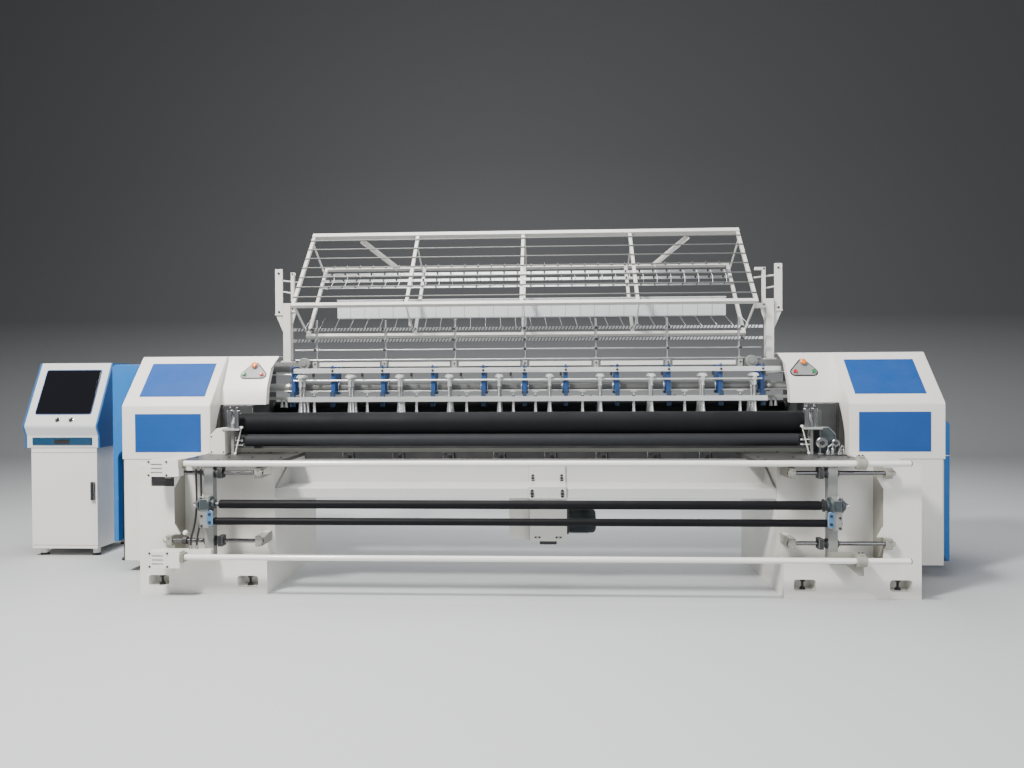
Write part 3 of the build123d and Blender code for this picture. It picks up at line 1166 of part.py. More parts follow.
with BuildPart() as screen:
    with BuildSketch(face_plane(console_mid, SCREEN_UP, 0)):
        RectangleRounded(SCREEN_W, SCREEN_H, SCREEN_R)
    extrude(amount=SCREEN_T)
write(screen.part, "console_screen")

for side, x in zip(("left", "right"), KNOB_XS):
    with BuildPart() as knob:
        with BuildSketch(face_plane(x, KNOB_UP, 0)):
            Circle(KNOB_R)
        extrude(amount=KNOB_H)
        with BuildSketch(face_plane(x, KNOB_UP, -KNOB_STEM_L)):
            Circle(KNOB_STEM_R)
        extrude(amount=KNOB_STEM_L)
    write(knob.part, f"{side}_knob")

# Drawer: an open box behind a front plate.
with BuildPart() as drawer:
    block(DRAWER_X, (CONSOLE_FRONT - DRAWER_PROUD, CONSOLE_FRONT + DRAWER_DEEP), DRAWER_Z)
    block((DRAWER_X[0] + DRAWER_WALL, DRAWER_X[1] - DRAWER_WALL),
          (CONSOLE_FRONT, CONSOLE_FRONT + DRAWER_DEEP - DRAWER_WALL),
          (DRAWER_Z[0] + DRAWER_WALL, DRAWER_Z[1] + PAST), mode=Mode.SUBTRACT)
write(drawer.part, "console_drawer")


# Hoses: straight runs joined by wide bends.
def turn_at(before, corner, after):
    """The angle in radians through which a route turns at a corner."""
    first = [b - a for a, b in zip(before, corner)]
    second = [b - a for a, b in zip(corner, after)]
    dot = sum(a * b for a, b in zip(first, second))
    return acos(min(1.0, dot / (hypot(*first) * hypot(*second))))


def bend_radii(route):
    """The bend radius at each inner corner of a hose's route."""
    radii = []
    for i in range(1, len(route) - 1):
        shorter = min(hypot(*(b - a for a, b in zip(route[i - 1], route[i]))),
                      hypot(*(b - a for a, b in zip(route[i], route[i + 1]))))
        turn = turn_at(route[i - 1], route[i], route[i + 1])
        radii.append(BEND_SHARE * shorter / tan(turn / 2))
    return radii


with BuildPart() as hoses:
    for route in (HOSE_A, HOSE_B):
        radii = bend_radii(route)
        print("hose bend radii", [round(radius) for radius in radii])
        with BuildLine() as path:
            FilletPolyline(*route, radius=radii)
        with BuildSketch(Plane(origin=path.line @ 0, z_dir=path.line % 0)):
            Circle(HOSE_R)
        sweep()
write(hoses.part, "air_hoses")
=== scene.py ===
"""Looks of a wide multi-needle quilting machine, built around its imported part.

Sizes are in millimetres: X from the machine's middle, Y from the front of its
feet and Z from the floor. The last step of a piece turns them into metres.
"""

import json
import logging
import math
from dataclasses import dataclass, field
from enum import Enum
from typing import Iterable, Sequence

import bmesh
import bpy
from mathutils import Matrix, Vector

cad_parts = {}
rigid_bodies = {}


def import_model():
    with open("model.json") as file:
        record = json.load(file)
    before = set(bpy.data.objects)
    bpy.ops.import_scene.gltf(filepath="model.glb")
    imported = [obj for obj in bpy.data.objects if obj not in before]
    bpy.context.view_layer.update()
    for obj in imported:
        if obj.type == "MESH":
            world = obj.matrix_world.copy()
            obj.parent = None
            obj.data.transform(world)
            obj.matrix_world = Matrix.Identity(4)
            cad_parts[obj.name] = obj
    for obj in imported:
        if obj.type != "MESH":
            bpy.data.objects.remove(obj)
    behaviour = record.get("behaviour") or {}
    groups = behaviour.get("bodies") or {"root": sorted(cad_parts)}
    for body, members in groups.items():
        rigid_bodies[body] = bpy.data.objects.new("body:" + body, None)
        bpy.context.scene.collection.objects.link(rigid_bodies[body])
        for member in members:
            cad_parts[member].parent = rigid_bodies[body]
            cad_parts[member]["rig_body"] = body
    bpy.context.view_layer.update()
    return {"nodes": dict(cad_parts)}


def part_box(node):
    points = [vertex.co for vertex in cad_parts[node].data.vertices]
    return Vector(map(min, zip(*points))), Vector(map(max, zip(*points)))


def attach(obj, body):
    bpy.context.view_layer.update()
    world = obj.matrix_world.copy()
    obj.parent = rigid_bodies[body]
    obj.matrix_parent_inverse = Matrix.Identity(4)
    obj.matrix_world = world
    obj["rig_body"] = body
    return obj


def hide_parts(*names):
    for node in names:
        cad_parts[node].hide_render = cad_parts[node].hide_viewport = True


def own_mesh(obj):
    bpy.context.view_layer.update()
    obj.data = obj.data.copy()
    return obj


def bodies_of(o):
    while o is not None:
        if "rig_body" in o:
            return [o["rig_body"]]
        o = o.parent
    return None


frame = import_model()

log = logging.getLogger("quilting_machine")
Span = tuple[float, float]
Point = tuple[float, float, float]
BMesh, BMVert, BMFace = bmesh.types.BMesh, bmesh.types.BMVert, bmesh.types.BMFace
Material, Object = bpy.types.Material, bpy.types.Object
NodeTree, Node, Socket = bpy.types.NodeTree, bpy.types.Node, bpy.types.NodeSocket

MM = 0.001
BEAM_FRONT = 140.0
BEAM_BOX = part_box("crossbeam")
ORIGIN = Vector(((BEAM_BOX[0].x + BEAM_BOX[1].x) / 2, BEAM_BOX[0].y - BEAM_FRONT * MM, 0.0))
SIDES = (("left", -1), ("right", 1))
CREASE = math.radians(38)
SHADE_BREAK = 34.0
WELD_MM = 0.01
WELD_M = 2e-5
FLAT = math.radians(0.8)


@dataclass(frozen=True)
class Layout:
    """Centrelines and levels that several pieces share, in millimetres."""

    rod_xs: tuple[float, ...] = tuple((i - 4.5) * 355.0 for i in range(10))
    post_xs: tuple[float, ...] = tuple((i - 3) * 515.0 for i in range(7))
    rows: tuple[float, ...] = (780.0, 856.0, 932.0)
    rail_top: float = 1182.0
    main_shaft: Span = (925.0, 1248.0)
    shift: float = -35.0
    guide_y: float = -20.0
    guide_zs: Span = (333.0, 747.0)
    upper_feed: Span = (398.0, 1018.0)
    lower_feed: Span = (352.0, 912.0)
    upper_nip: Span = (-85.0, 567.0)
    lower_nip: Span = (-85.0, 464.0)


AT = Layout()


class Axis(Enum):
    """The axis that a rod, a turned shape or an outline runs along."""

    X = 0
    Y = 1
    Z = 2


class Grain(Enum):
    """How a finish breaks up close to."""

    PAINT = "paint"
    CAST = "cast"
    BRUSHED = "brushed"
    POLISHED = "polished"
    RUBBER = "rubber"
    PLASTIC = "plastic"
    CLEAR = "clear"
    GLASS = "glass"


# ---------------------------------------------------------------- finishes


@dataclass(frozen=True)
class Finish:
    """One finish: its colours, how it shines and how it breaks up close to."""

    name: str
    colour: tuple[float, float, float]
    grain: Grain
    roughness: float = 0.4
    metallic: float = 0.0
    coat: float = 0.0
    shade: float = 0.92
    bare: tuple[float, float, float] = (0.45, 0.45, 0.46)
    wear: float = 0.0
    dust: float = 0.0
    scale: float = 60.0
    gloss: float = 0.5
    bump: float = 0.15
    along: Point = (1.0, 1.0, 1.0)
    slot: str = ""


@dataclass(frozen=True)
class Finishes:
    """Every finish on the machine, by what it is on."""

    white: Finish = Finish(
        "white_enamel", (0.79, 0.775, 0.725), Grain.PAINT, 0.34, coat=0.25, wear=0.35, dust=0.25,
        slot="white_paint")
    tube_white: Finish = Finish(
        "tube_enamel", (0.84, 0.83, 0.78), Grain.PAINT, 0.2, coat=0.6, wear=0.2, dust=0.1,
        slot="white_paint")
    blue: Finish = Finish(
        "panel_blue", (0.008, 0.072, 0.285), Grain.PAINT, 0.55, gloss=0.25, bare=(0.5, 0.5, 0.5),
        wear=0.3, dust=0.06, slot="blue_paint")
    hanger_blue: Finish = Finish(
        "hanger_blue", (0.009, 0.058, 0.20), Grain.CAST, 0.42, gloss=0.4, wear=0.6, dust=0.15,
        slot="blue_paint")
    casing_blue: Finish = Finish(
        "casing_blue", (0.014, 0.16, 0.48), Grain.PAINT, 0.4, gloss=0.35, wear=0.3, dust=0.25,
        slot="light_blue_paint")
    teal: Finish = Finish(
        "drawer_teal", (0.005, 0.050, 0.11), Grain.PAINT, 0.4, gloss=0.4, wear=0.3, dust=0.1,
        slot="teal_paint")
    dark: Finish = Finish(
        "dark_enamel", (0.022, 0.023, 0.026), Grain.CAST, 0.5, wear=0.5, dust=0.3,
        slot="dark_paint")
    grey: Finish = Finish(
        "grey_enamel", (0.36, 0.37, 0.36), Grain.PAINT, 0.36, coat=0.2, wear=0.5, dust=0.2,
        slot="grey_paint")
    # Grey enamel of the carriage, darkened further as painted shade of the uprights.
    carriage: Finish = Finish(
        "carriage_enamel_painted_shade", (0.235, 0.245, 0.235), Grain.PAINT, 0.34, coat=0.25, wear=0.5, dust=0.2,
        slot="grey_paint")
    rack_white: Finish = Finish(
        "rack_enamel", (0.66, 0.65, 0.61), Grain.PAINT, 0.33, coat=0.2, wear=0.3, dust=0.25,
        slot="aluminium")
    rubber: Finish = Finish(
        "roller_rubber", (0.0045, 0.005, 0.0065), Grain.RUBBER, 0.62, bump=0.5, dust=0.015,
        scale=900.0, gloss=0.16, slot="black_rubber")
    smooth_rubber: Finish = Finish(
        "smooth_rubber", (0.024, 0.026, 0.030), Grain.RUBBER, 0.6, bump=0.12, dust=0.02,
        scale=500.0, gloss=0.16, slot="black_rubber")
    hose: Finish = Finish(
        "hose_rubber", (0.012, 0.012, 0.013), Grain.PLASTIC, 0.35, dust=0.1, slot="black_rubber")
    steel: Finish = Finish(
        "ground_steel", (0.46, 0.46, 0.455), Grain.BRUSHED, 0.32, 1.0, along=(0.03, 1.0, 1.0),
        dust=0.05, slot="steel")
    shaft: Finish = Finish(
        "shaft_steel", (0.20, 0.20, 0.205), Grain.BRUSHED, 0.24, 1.0, along=(1.0, 0.1, 0.1),
        scale=140.0, slot="steel")
    chrome: Finish = Finish(
        "bright_chrome", (0.76, 0.76, 0.77), Grain.POLISHED, 0.11, 1.0, slot="chrome")
    aluminium: Finish = Finish(
        "drawn_aluminium", (0.60, 0.605, 0.61), Grain.BRUSHED, 0.34, 1.0, along=(0.02, 1.0, 1.0),
        dust=0.05, slot="aluminium")
    zinc: Finish = Finish("zinc_plate", (0.52, 0.51, 0.47), Grain.BRUSHED, 0.38, 1.0, slot="zinc")
    motor: Finish = Finish(
        "motor_enamel", (0.006, 0.016, 0.024), Grain.CAST, 0.45, gloss=0.35, wear=0.4, dust=0.3,
        slot="motor_paint")
    tray: Finish = Finish(
        "tray_plastic", (0.80, 0.82, 0.83), Grain.CLEAR, 0.32, dust=0.1, slot="clear_plastic")
    red: Finish = Finish(
        "red_button", (0.55, 0.02, 0.02), Grain.PLASTIC, 0.22, coat=0.3, slot="red_plastic")
    orange: Finish = Finish(
        "orange_button", (0.86, 0.23, 0.02), Grain.PLASTIC, 0.22, coat=0.3, slot="orange_plastic")
    green: Finish = Finish(
        "green_button", (0.02, 0.22, 0.07), Grain.PLASTIC, 0.22, coat=0.3, slot="green_plastic")
    black: Finish = Finish(
        "black_plastic", (0.016, 0.016, 0.018), Grain.PLASTIC, 0.42, dust=0.1,
        slot="black_plastic")
    face: Finish = Finish(
        "console_face", (0.66, 0.675, 0.67), Grain.PAINT, 0.34, coat=0.2, wear=0.3, dust=0.15,
        slot="white_paint")
    deep_blue: Finish = Finish(
        "deep_blue", (0.012, 0.045, 0.15), Grain.PAINT, 0.36, coat=0.2, wear=0.4, dust=0.1,
        slot="blue_paint")
    link_blue: Finish = Finish(
        "link_blue", (0.05, 0.18, 0.36), Grain.CAST, 0.4, coat=0.1, wear=0.5, dust=0.15,
        slot="light_blue_paint")
    olive: Finish = Finish(
        "clamp_olive", (0.23, 0.225, 0.17), Grain.CAST, 0.45, wear=0.5, dust=0.2,
        slot="green_grey_paint")
    # Also laid on the stands' shaft blocks and the right tube brackets, partly as painted shade.
    clamp: Finish = Finish(
        "clamp_grey", (0.30, 0.29, 0.25), Grain.CAST, 0.42, wear=0.5, dust=0.15, slot="grey_paint")
    yoke: Finish = Finish(
        "yoke_casting", (0.82, 0.82, 0.80), Grain.BRUSHED, 0.36, 0.5, dust=0.1, slot="aluminium")
    oxide: Finish = Finish(
        "oxide_steel", (0.05, 0.05, 0.055), Grain.BRUSHED, 0.42, 0.7, dust=0.12, slot="zinc")
    spring: Finish = Finish(
        "spring_steel", (0.50, 0.50, 0.50), Grain.POLISHED, 0.36, 0.85, slot="steel")
    nip_rubber: Finish = Finish(
        "nip_rubber", (0.004, 0.004, 0.0055), Grain.RUBBER, 0.55, bump=0.2, dust=0.015,
        scale=700.0, gloss=0.16, slot="black_rubber")
    # Bare steel of the deck, darkened partly as painted shade on the deck's top.
    deck: Finish = Finish(
        "deck_steel_painted_shade", (0.17, 0.17, 0.165), Grain.BRUSHED, 0.38, 0.9, along=(0.05, 1.0, 1.0),
        dust=0.15, slot="steel")
    button_grey: Finish = Finish(
        "button_grey", (0.27, 0.275, 0.285), Grain.PAINT, 0.42, coat=0.1, wear=0.2, dust=0.1,
        slot="grey_paint")
    strip: Finish = Finish(
        "strip_olive", (0.075, 0.08, 0.068), Grain.BRUSHED, 0.45, 0.3, along=(0.02, 1.0, 1.0),
        dust=0.1, slot="green_grey_paint")
    bearing: Finish = Finish(
        "bearing_casting", (0.028, 0.042, 0.048), Grain.CAST, 0.4, coat=0.15, wear=0.7, dust=0.15,
        slot="dark_paint")
    # White paint greyed down as painted shade: the crossbeam and splice plate stand in shade.
    beam_white_painted_shade: Finish = Finish(
        "beam_white_painted_shade", (0.60, 0.60, 0.58), Grain.PAINT, 0.36, coat=0.2, wear=0.35, dust=0.25,
        slot="white_paint")
    # Darker steel for the rack's rods; part of the darkness is painted shade.
    rack_rod: Finish = Finish(
        "rack_rod_steel_part_shade", (0.17, 0.17, 0.165), Grain.BRUSHED, 0.42, 0.6, along=(0.02, 1.0, 1.0),
        dust=0.2, slot="steel")
    # Painted shade: a darker blue for the hangers' lower parts, which sit in shade.
    hanger_shade: Finish = Finish(
        "hanger_painted_shade_blue", (0.006, 0.030, 0.075), Grain.CAST, 0.5, dust=0.15, slot="blue_paint")
    foot: Finish = Finish(
        "foot_chrome", (0.90, 0.90, 0.89), Grain.POLISHED, 0.26, 0.85, slot="chrome")
    shaft_grey: Finish = Finish(
        "main_shaft_grey", (0.105, 0.108, 0.105), Grain.PAINT, 0.42, coat=0.1, wear=0.5, dust=0.15,
        slot="grey_paint")
    satin: Finish = Finish(
        "satin_nickel", (0.80, 0.80, 0.79), Grain.POLISHED, 0.36, 0.72, slot="chrome")
    bright: Finish = Finish(
        "bright_aluminium", (0.78, 0.785, 0.79), Grain.BRUSHED, 0.42, 0.6, along=(0.02, 1.0, 1.0),
        dust=0.05, slot="aluminium")
    beam: Finish = Finish(
        "beam_grey", (0.19, 0.195, 0.19), Grain.PAINT, 0.38, coat=0.15, wear=0.5, dust=0.2,
        slot="grey_paint")
    console_blue: Finish = Finish(
        "console_blue", (0.016, 0.105, 0.30), Grain.PAINT, 0.4, gloss=0.35, wear=0.3, dust=0.15,
        slot="light_blue_paint")
    # Dark navy as painted shade in the casing's recess.
    recess: Finish = Finish(
        "recess_painted_shade_blue", (0.004, 0.016, 0.055), Grain.PAINT, 0.6, dust=0.05, slot="blue_paint")
    screen: Finish = Finish(
        "screen_glass", (0.004, 0.004, 0.006), Grain.GLASS, 0.09, coat=0.3, gloss=0.3,
        slot="screen_plastic")


F = Finishes()


class NodeBench:
    """Small helpers for a material's or a group's node tree."""

    def __init__(self, tree: NodeTree) -> None:
        """Keeps the tree that the nodes go in.

        Args:
            tree: the node tree of a material or of a group.
        """
        self.tree = tree

    def node(self, kind: str, **values: object) -> Node:
        """Adds a node and sets its properties and unlinked inputs.

        Args:
            kind: the node's type name.
            **values: properties, or inputs by name with underscores for spaces.

        Returns:
            The new node.
        """
        made = self.tree.nodes.new(kind)
        for key, value in values.items():
            if hasattr(made, key):
                setattr(made, key, value)
            else:
                made.inputs[key.replace("_", " ")].default_value = value
        return made

    def link(self, output: Socket, target: Socket) -> None:
        """Joins one output to one input."""
        self.tree.links.new(output, target)

    def math(self, operation: str, first: object, second: object = 0.0,
             third: object = 0.0) -> Socket:
        """Adds a Math node.

        Args:
            operation: the node's operation.
            first: a socket or a number.
            second: a socket or a number.
            third: a socket or a number.

        Returns:
            The node's value output.
        """
        made = self.node("ShaderNodeMath", operation=operation)
        for slot, value in zip(made.inputs, (first, second, third)):
            if isinstance(value, Socket):
                self.link(value, slot)
            else:
                slot.default_value = value
        return made.outputs[0]

    def ramp(self, value: Socket, low: float, high: float,
             to_low: float = 0.0, to_high: float = 1.0) -> Socket:
        """Maps a stretch of values to another, held at its ends.

        Args:
            value: what is mapped.
            low: where the stretch starts.
            high: where it ends.
            to_low: the result at its start.
            to_high: the result at its end.

        Returns:
            The mapped value.
        """
        made = self.node(
            "ShaderNodeMapRange", From_Min=low, From_Max=high, To_Min=to_low, To_Max=to_high)
        self.link(value, made.inputs["Value"])
        return made.outputs["Result"]

    def mix(self, share: Socket, first: object, second: object) -> Socket:
        """Mixes two colours by a share.

        Args:
            share: how much of the second colour there is.
            first: a colour or a socket.
            second: a colour or a socket.

        Returns:
            The mixed colour.
        """
        made = self.node("ShaderNodeMix", data_type="RGBA")
        self.link(share, made.inputs["Factor"])
        for slot, value in zip((made.inputs[6], made.inputs[7]), (first, second)):
            if isinstance(value, Socket):
                self.link(value, slot)
            else:
                slot.default_value = (*value, 1.0)
        return made.outputs[2]


class GroupShop:
    """The node groups that several finishes share."""

    def __init__(self) -> None:
        """Builds the groups once."""
        self.mottle = self._mottle()
        self.worn = self._worn()
        self.dust = self._dust()
        self.brushed = self._brushed()

    def _group(self, name: str, inputs: dict[str, float],
               outputs: Sequence[str]) -> tuple[NodeBench, Node, Node]:
        """Starts a group with its sockets.

        Args:
            name: the group's name.
            inputs: the default of each float input.
            outputs: the name of each float output.

        Returns:
            The group's bench, its input node and its output node.
        """
        group = bpy.data.node_groups.new(name, "ShaderNodeTree")
        group.interface.new_socket("Vector", in_out="INPUT", socket_type="NodeSocketVector")
        for key, value in inputs.items():
            made = group.interface.new_socket(key, in_out="INPUT", socket_type="NodeSocketFloat")
            made.default_value = value
        for key in outputs:
            group.interface.new_socket(key, in_out="OUTPUT", socket_type="NodeSocketFloat")
        bench = NodeBench(group)
        return bench, bench.node("NodeGroupInput"), bench.node("NodeGroupOutput")

    def _mottle(self) -> NodeTree:
        """Soft uneven patches, and fine grain for a bump."""
        bench, enter, leave = self._group(
            "mottle", {"Scale": 60.0, "Patch": 1.6}, ("Patches", "Fine"))
        wide = bench.node("ShaderNodeTexNoise", Detail=5.0, Roughness=0.62)
        fine = bench.node("ShaderNodeTexNoise", Detail=3.0, Roughness=0.5)
        for made, scale in ((wide, "Patch"), (fine, "Scale")):
            bench.link(enter.outputs["Vector"], made.inputs["Vector"])
            bench.link(enter.outputs[scale], made.inputs["Scale"])
        bench.link(bench.ramp(wide.outputs["Fac"], 0.3, 0.72), leave.inputs["Patches"])
        bench.link(fine.outputs["Fac"], leave.inputs["Fine"])
        return bench.tree

    def _worn(self) -> NodeTree:
        """A mask of the rubbed stretches along the rounded edges."""
        bench, enter, leave = self._group("edge_wear", {"Amount": 0.5}, ("Mask",))
        edge = bench.node("ShaderNodeAttribute", attribute_name="worn")
        chips = bench.node("ShaderNodeTexNoise", Scale=34.0, Detail=6.0, Roughness=0.7)
        bench.link(enter.outputs["Vector"], chips.inputs["Vector"])
        limit = bench.math("SUBTRACT", 1.0, enter.outputs["Amount"])
        over = bench.math("SUBTRACT", chips.outputs["Fac"], bench.math("MULTIPLY", limit, 0.75))
        mask = bench.math("MULTIPLY", bench.ramp(over, 0.0, 0.12), edge.outputs["Fac"])
        bench.link(bench.ramp(mask, 0.35, 0.8), leave.inputs["Mask"])
        return bench.tree

    def _dust(self) -> NodeTree:
        """A mask of settled dust on the faces that look up."""
        bench, enter, leave = self._group("dust", {"Amount": 0.3}, ("Mask",))
        surface = bench.node("ShaderNodeNewGeometry")
        parts = bench.node("ShaderNodeSeparateXYZ")
        bench.link(surface.outputs["Normal"], parts.inputs[0])
        drift = bench.node("ShaderNodeTexNoise", Scale=7.0, Detail=7.0, Roughness=0.66)
        bench.link(enter.outputs["Vector"], drift.inputs["Vector"])
        up = bench.ramp(parts.outputs["Z"], 0.35, 1.0, 0.18, 1.0)
        thick = bench.math("MULTIPLY", up, bench.ramp(drift.outputs["Fac"], 0.32, 0.75))
        bench.link(bench.math("MULTIPLY", thick, enter.outputs["Amount"]), leave.inputs["Mask"])
        return bench.tree

    def _brushed(self) -> NodeTree:
        """Fine lines of a ground or drawn metal."""
        bench, enter, leave = self._group("brushed", {"Scale": 220.0}, ("Lines",))
        lines = bench.node("ShaderNodeTexNoise", Detail=4.0, Roughness=0.72)
        bench.link(enter.outputs["Vector"], lines.inputs["Vector"])
        bench.link(enter.outputs["Scale"], lines.inputs["Scale"])
        bench.link(bench.ramp(lines.outputs["Fac"], 0.25, 0.75), leave.inputs["Lines"])
        return bench.tree


class PaintShop:
    """Makes each finish's material once and hands it out."""

    DUST = (0.52, 0.50, 0.46)
    COAT_ROUGHNESS = 0.12
    ROUGH_SPREAD = (1.18, 0.88)
    LINE_SHADE = 0.82
    LINE_SCALE = 6
    LINE_ROUGHNESS = (-0.05, 0.07)
    WORN_ROUGHNESS = 0.12
    DUST_ROUGHNESS = 0.5
    CLEARNESS = 0.35
    PLASTIC_IOR = 1.45
    DEPTHS = {
        Grain.PAINT: 0.00012, Grain.CAST: 0.0005, Grain.BRUSHED: 0.00006, Grain.POLISHED: 0.00001,
        Grain.RUBBER: 0.0006, Grain.PLASTIC: 0.0001, Grain.CLEAR: 0.0001, Grain.GLASS: 0.00001}

    def __init__(self) -> None:
        """Builds the shared groups."""
        self.groups = GroupShop()
        self.made: dict[str, Material] = {}

    def of(self, finish: Finish) -> Material:
        """The material of a finish.

        Args:
            finish: the finish.

        Returns:
            Its material, made on first use.
        """
        if finish.name not in self.made:
            self.made[finish.name] = self._make(finish)
        return self.made[finish.name]

    def _placed(self, bench: NodeBench, tree: NodeTree, source: Socket, **values: float) -> Node:
        """Places a shared group in a material.

        Args:
            bench: the material's bench.
            tree: the group.
            source: the coordinates that it reads.
            **values: its inputs.

        Returns:
            The group's node.
        """
        made = bench.node("ShaderNodeGroup")
        made.node_tree = tree
        bench.link(source, made.inputs["Vector"])
        for key, value in values.items():
            made.inputs[key].default_value = value
        return made

    @staticmethod
    def _rougher(bench: NodeBench, rough: Socket, mask: Socket, more: float) -> Socket:
        """Adds to the roughness where a mask is."""
        return bench.math("ADD", rough, bench.math("MULTIPLY", mask, more))

    def _make(self, finish: Finish) -> Material:
        """Builds one material.

        Args:
            finish: the finish.

        Returns:
            The material.
        """
        material = bpy.data.materials.new(finish.name)
        material.use_nodes = True
        material.diffuse_color = (*finish.colour, 1.0)
        tree = material.node_tree
        tree.nodes.clear()
        bench = NodeBench(tree)
        out = bench.node("ShaderNodeOutputMaterial")
        shader = bench.node(
            "ShaderNodeBsdfPrincipled", Metallic=finish.metallic, Coat_Weight=finish.coat,
            Coat_Roughness=self.COAT_ROUGHNESS)
        bench.link(shader.outputs[0], out.inputs[0])
        place = bench.node("ShaderNodeTexCoord").outputs["Object"]
        mottle = self._placed(bench, self.groups.mottle, place, Scale=finish.scale)
        dark = tuple(c * finish.shade for c in finish.colour)
        colour = bench.mix(mottle.outputs["Patches"], dark, finish.colour)
        rough = bench.ramp(mottle.outputs["Patches"], 0.0, 1.0, *(
            finish.roughness * share for share in self.ROUGH_SPREAD))
        height = mottle.outputs["Fine"]
        if finish.metallic > 0:
            turn = bench.node("ShaderNodeMapping", vector_type="POINT", Scale=finish.along)
            bench.link(place, turn.inputs["Vector"])
            lines = self._placed(bench, self.groups.brushed, turn.outputs[0],
                                 Scale=finish.scale * self.LINE_SCALE).outputs["Lines"]
            between = tuple(c * self.LINE_SHADE for c in finish.colour)
            colour = bench.mix(lines, between, colour)
            change = bench.ramp(lines, 0.0, 1.0, *self.LINE_ROUGHNESS)
            rough = bench.math("ADD", rough, change)
            height = lines
        if finish.wear > 0:
            worn = self._placed(bench, self.groups.worn, place, Amount=finish.wear)
            colour = bench.mix(worn.outputs["Mask"], colour, finish.bare)
            rough = self._rougher(bench, rough, worn.outputs["Mask"], self.WORN_ROUGHNESS)
        if finish.dust > 0:
            dust = self._placed(bench, self.groups.dust, place, Amount=finish.dust)
            colour = bench.mix(dust.outputs["Mask"], colour, self.DUST)
            rough = self._rougher(bench, rough, dust.outputs["Mask"], self.DUST_ROUGHNESS)
        bench.link(colour, shader.inputs["Base Color"])
        bench.link(bench.math("MINIMUM", rough, 1.0), shader.inputs["Roughness"])
        bump = bench.node(
            "ShaderNodeBump", Strength=min(1.0, finish.bump * 2),
            Distance=self.DEPTHS[finish.grain])
        bench.link(height, bump.inputs["Height"])
        bench.link(bump.outputs[0], shader.inputs["Normal"])
        shader.inputs["Specular IOR Level"].default_value = finish.gloss
        if finish.grain is Grain.CLEAR:
            shader.inputs["Transmission Weight"].default_value = self.CLEARNESS
            shader.inputs["IOR"].default_value = self.PLASTIC_IOR
        return material


SHOP = PaintShop()


# ------------------------------------------------------------------ shapes


def verts_in(geom: Iterable[object]) -> list[BMVert]:
    """The vertices among mixed elements of a mesh."""
    return [v for v in geom if isinstance(v, BMVert)]


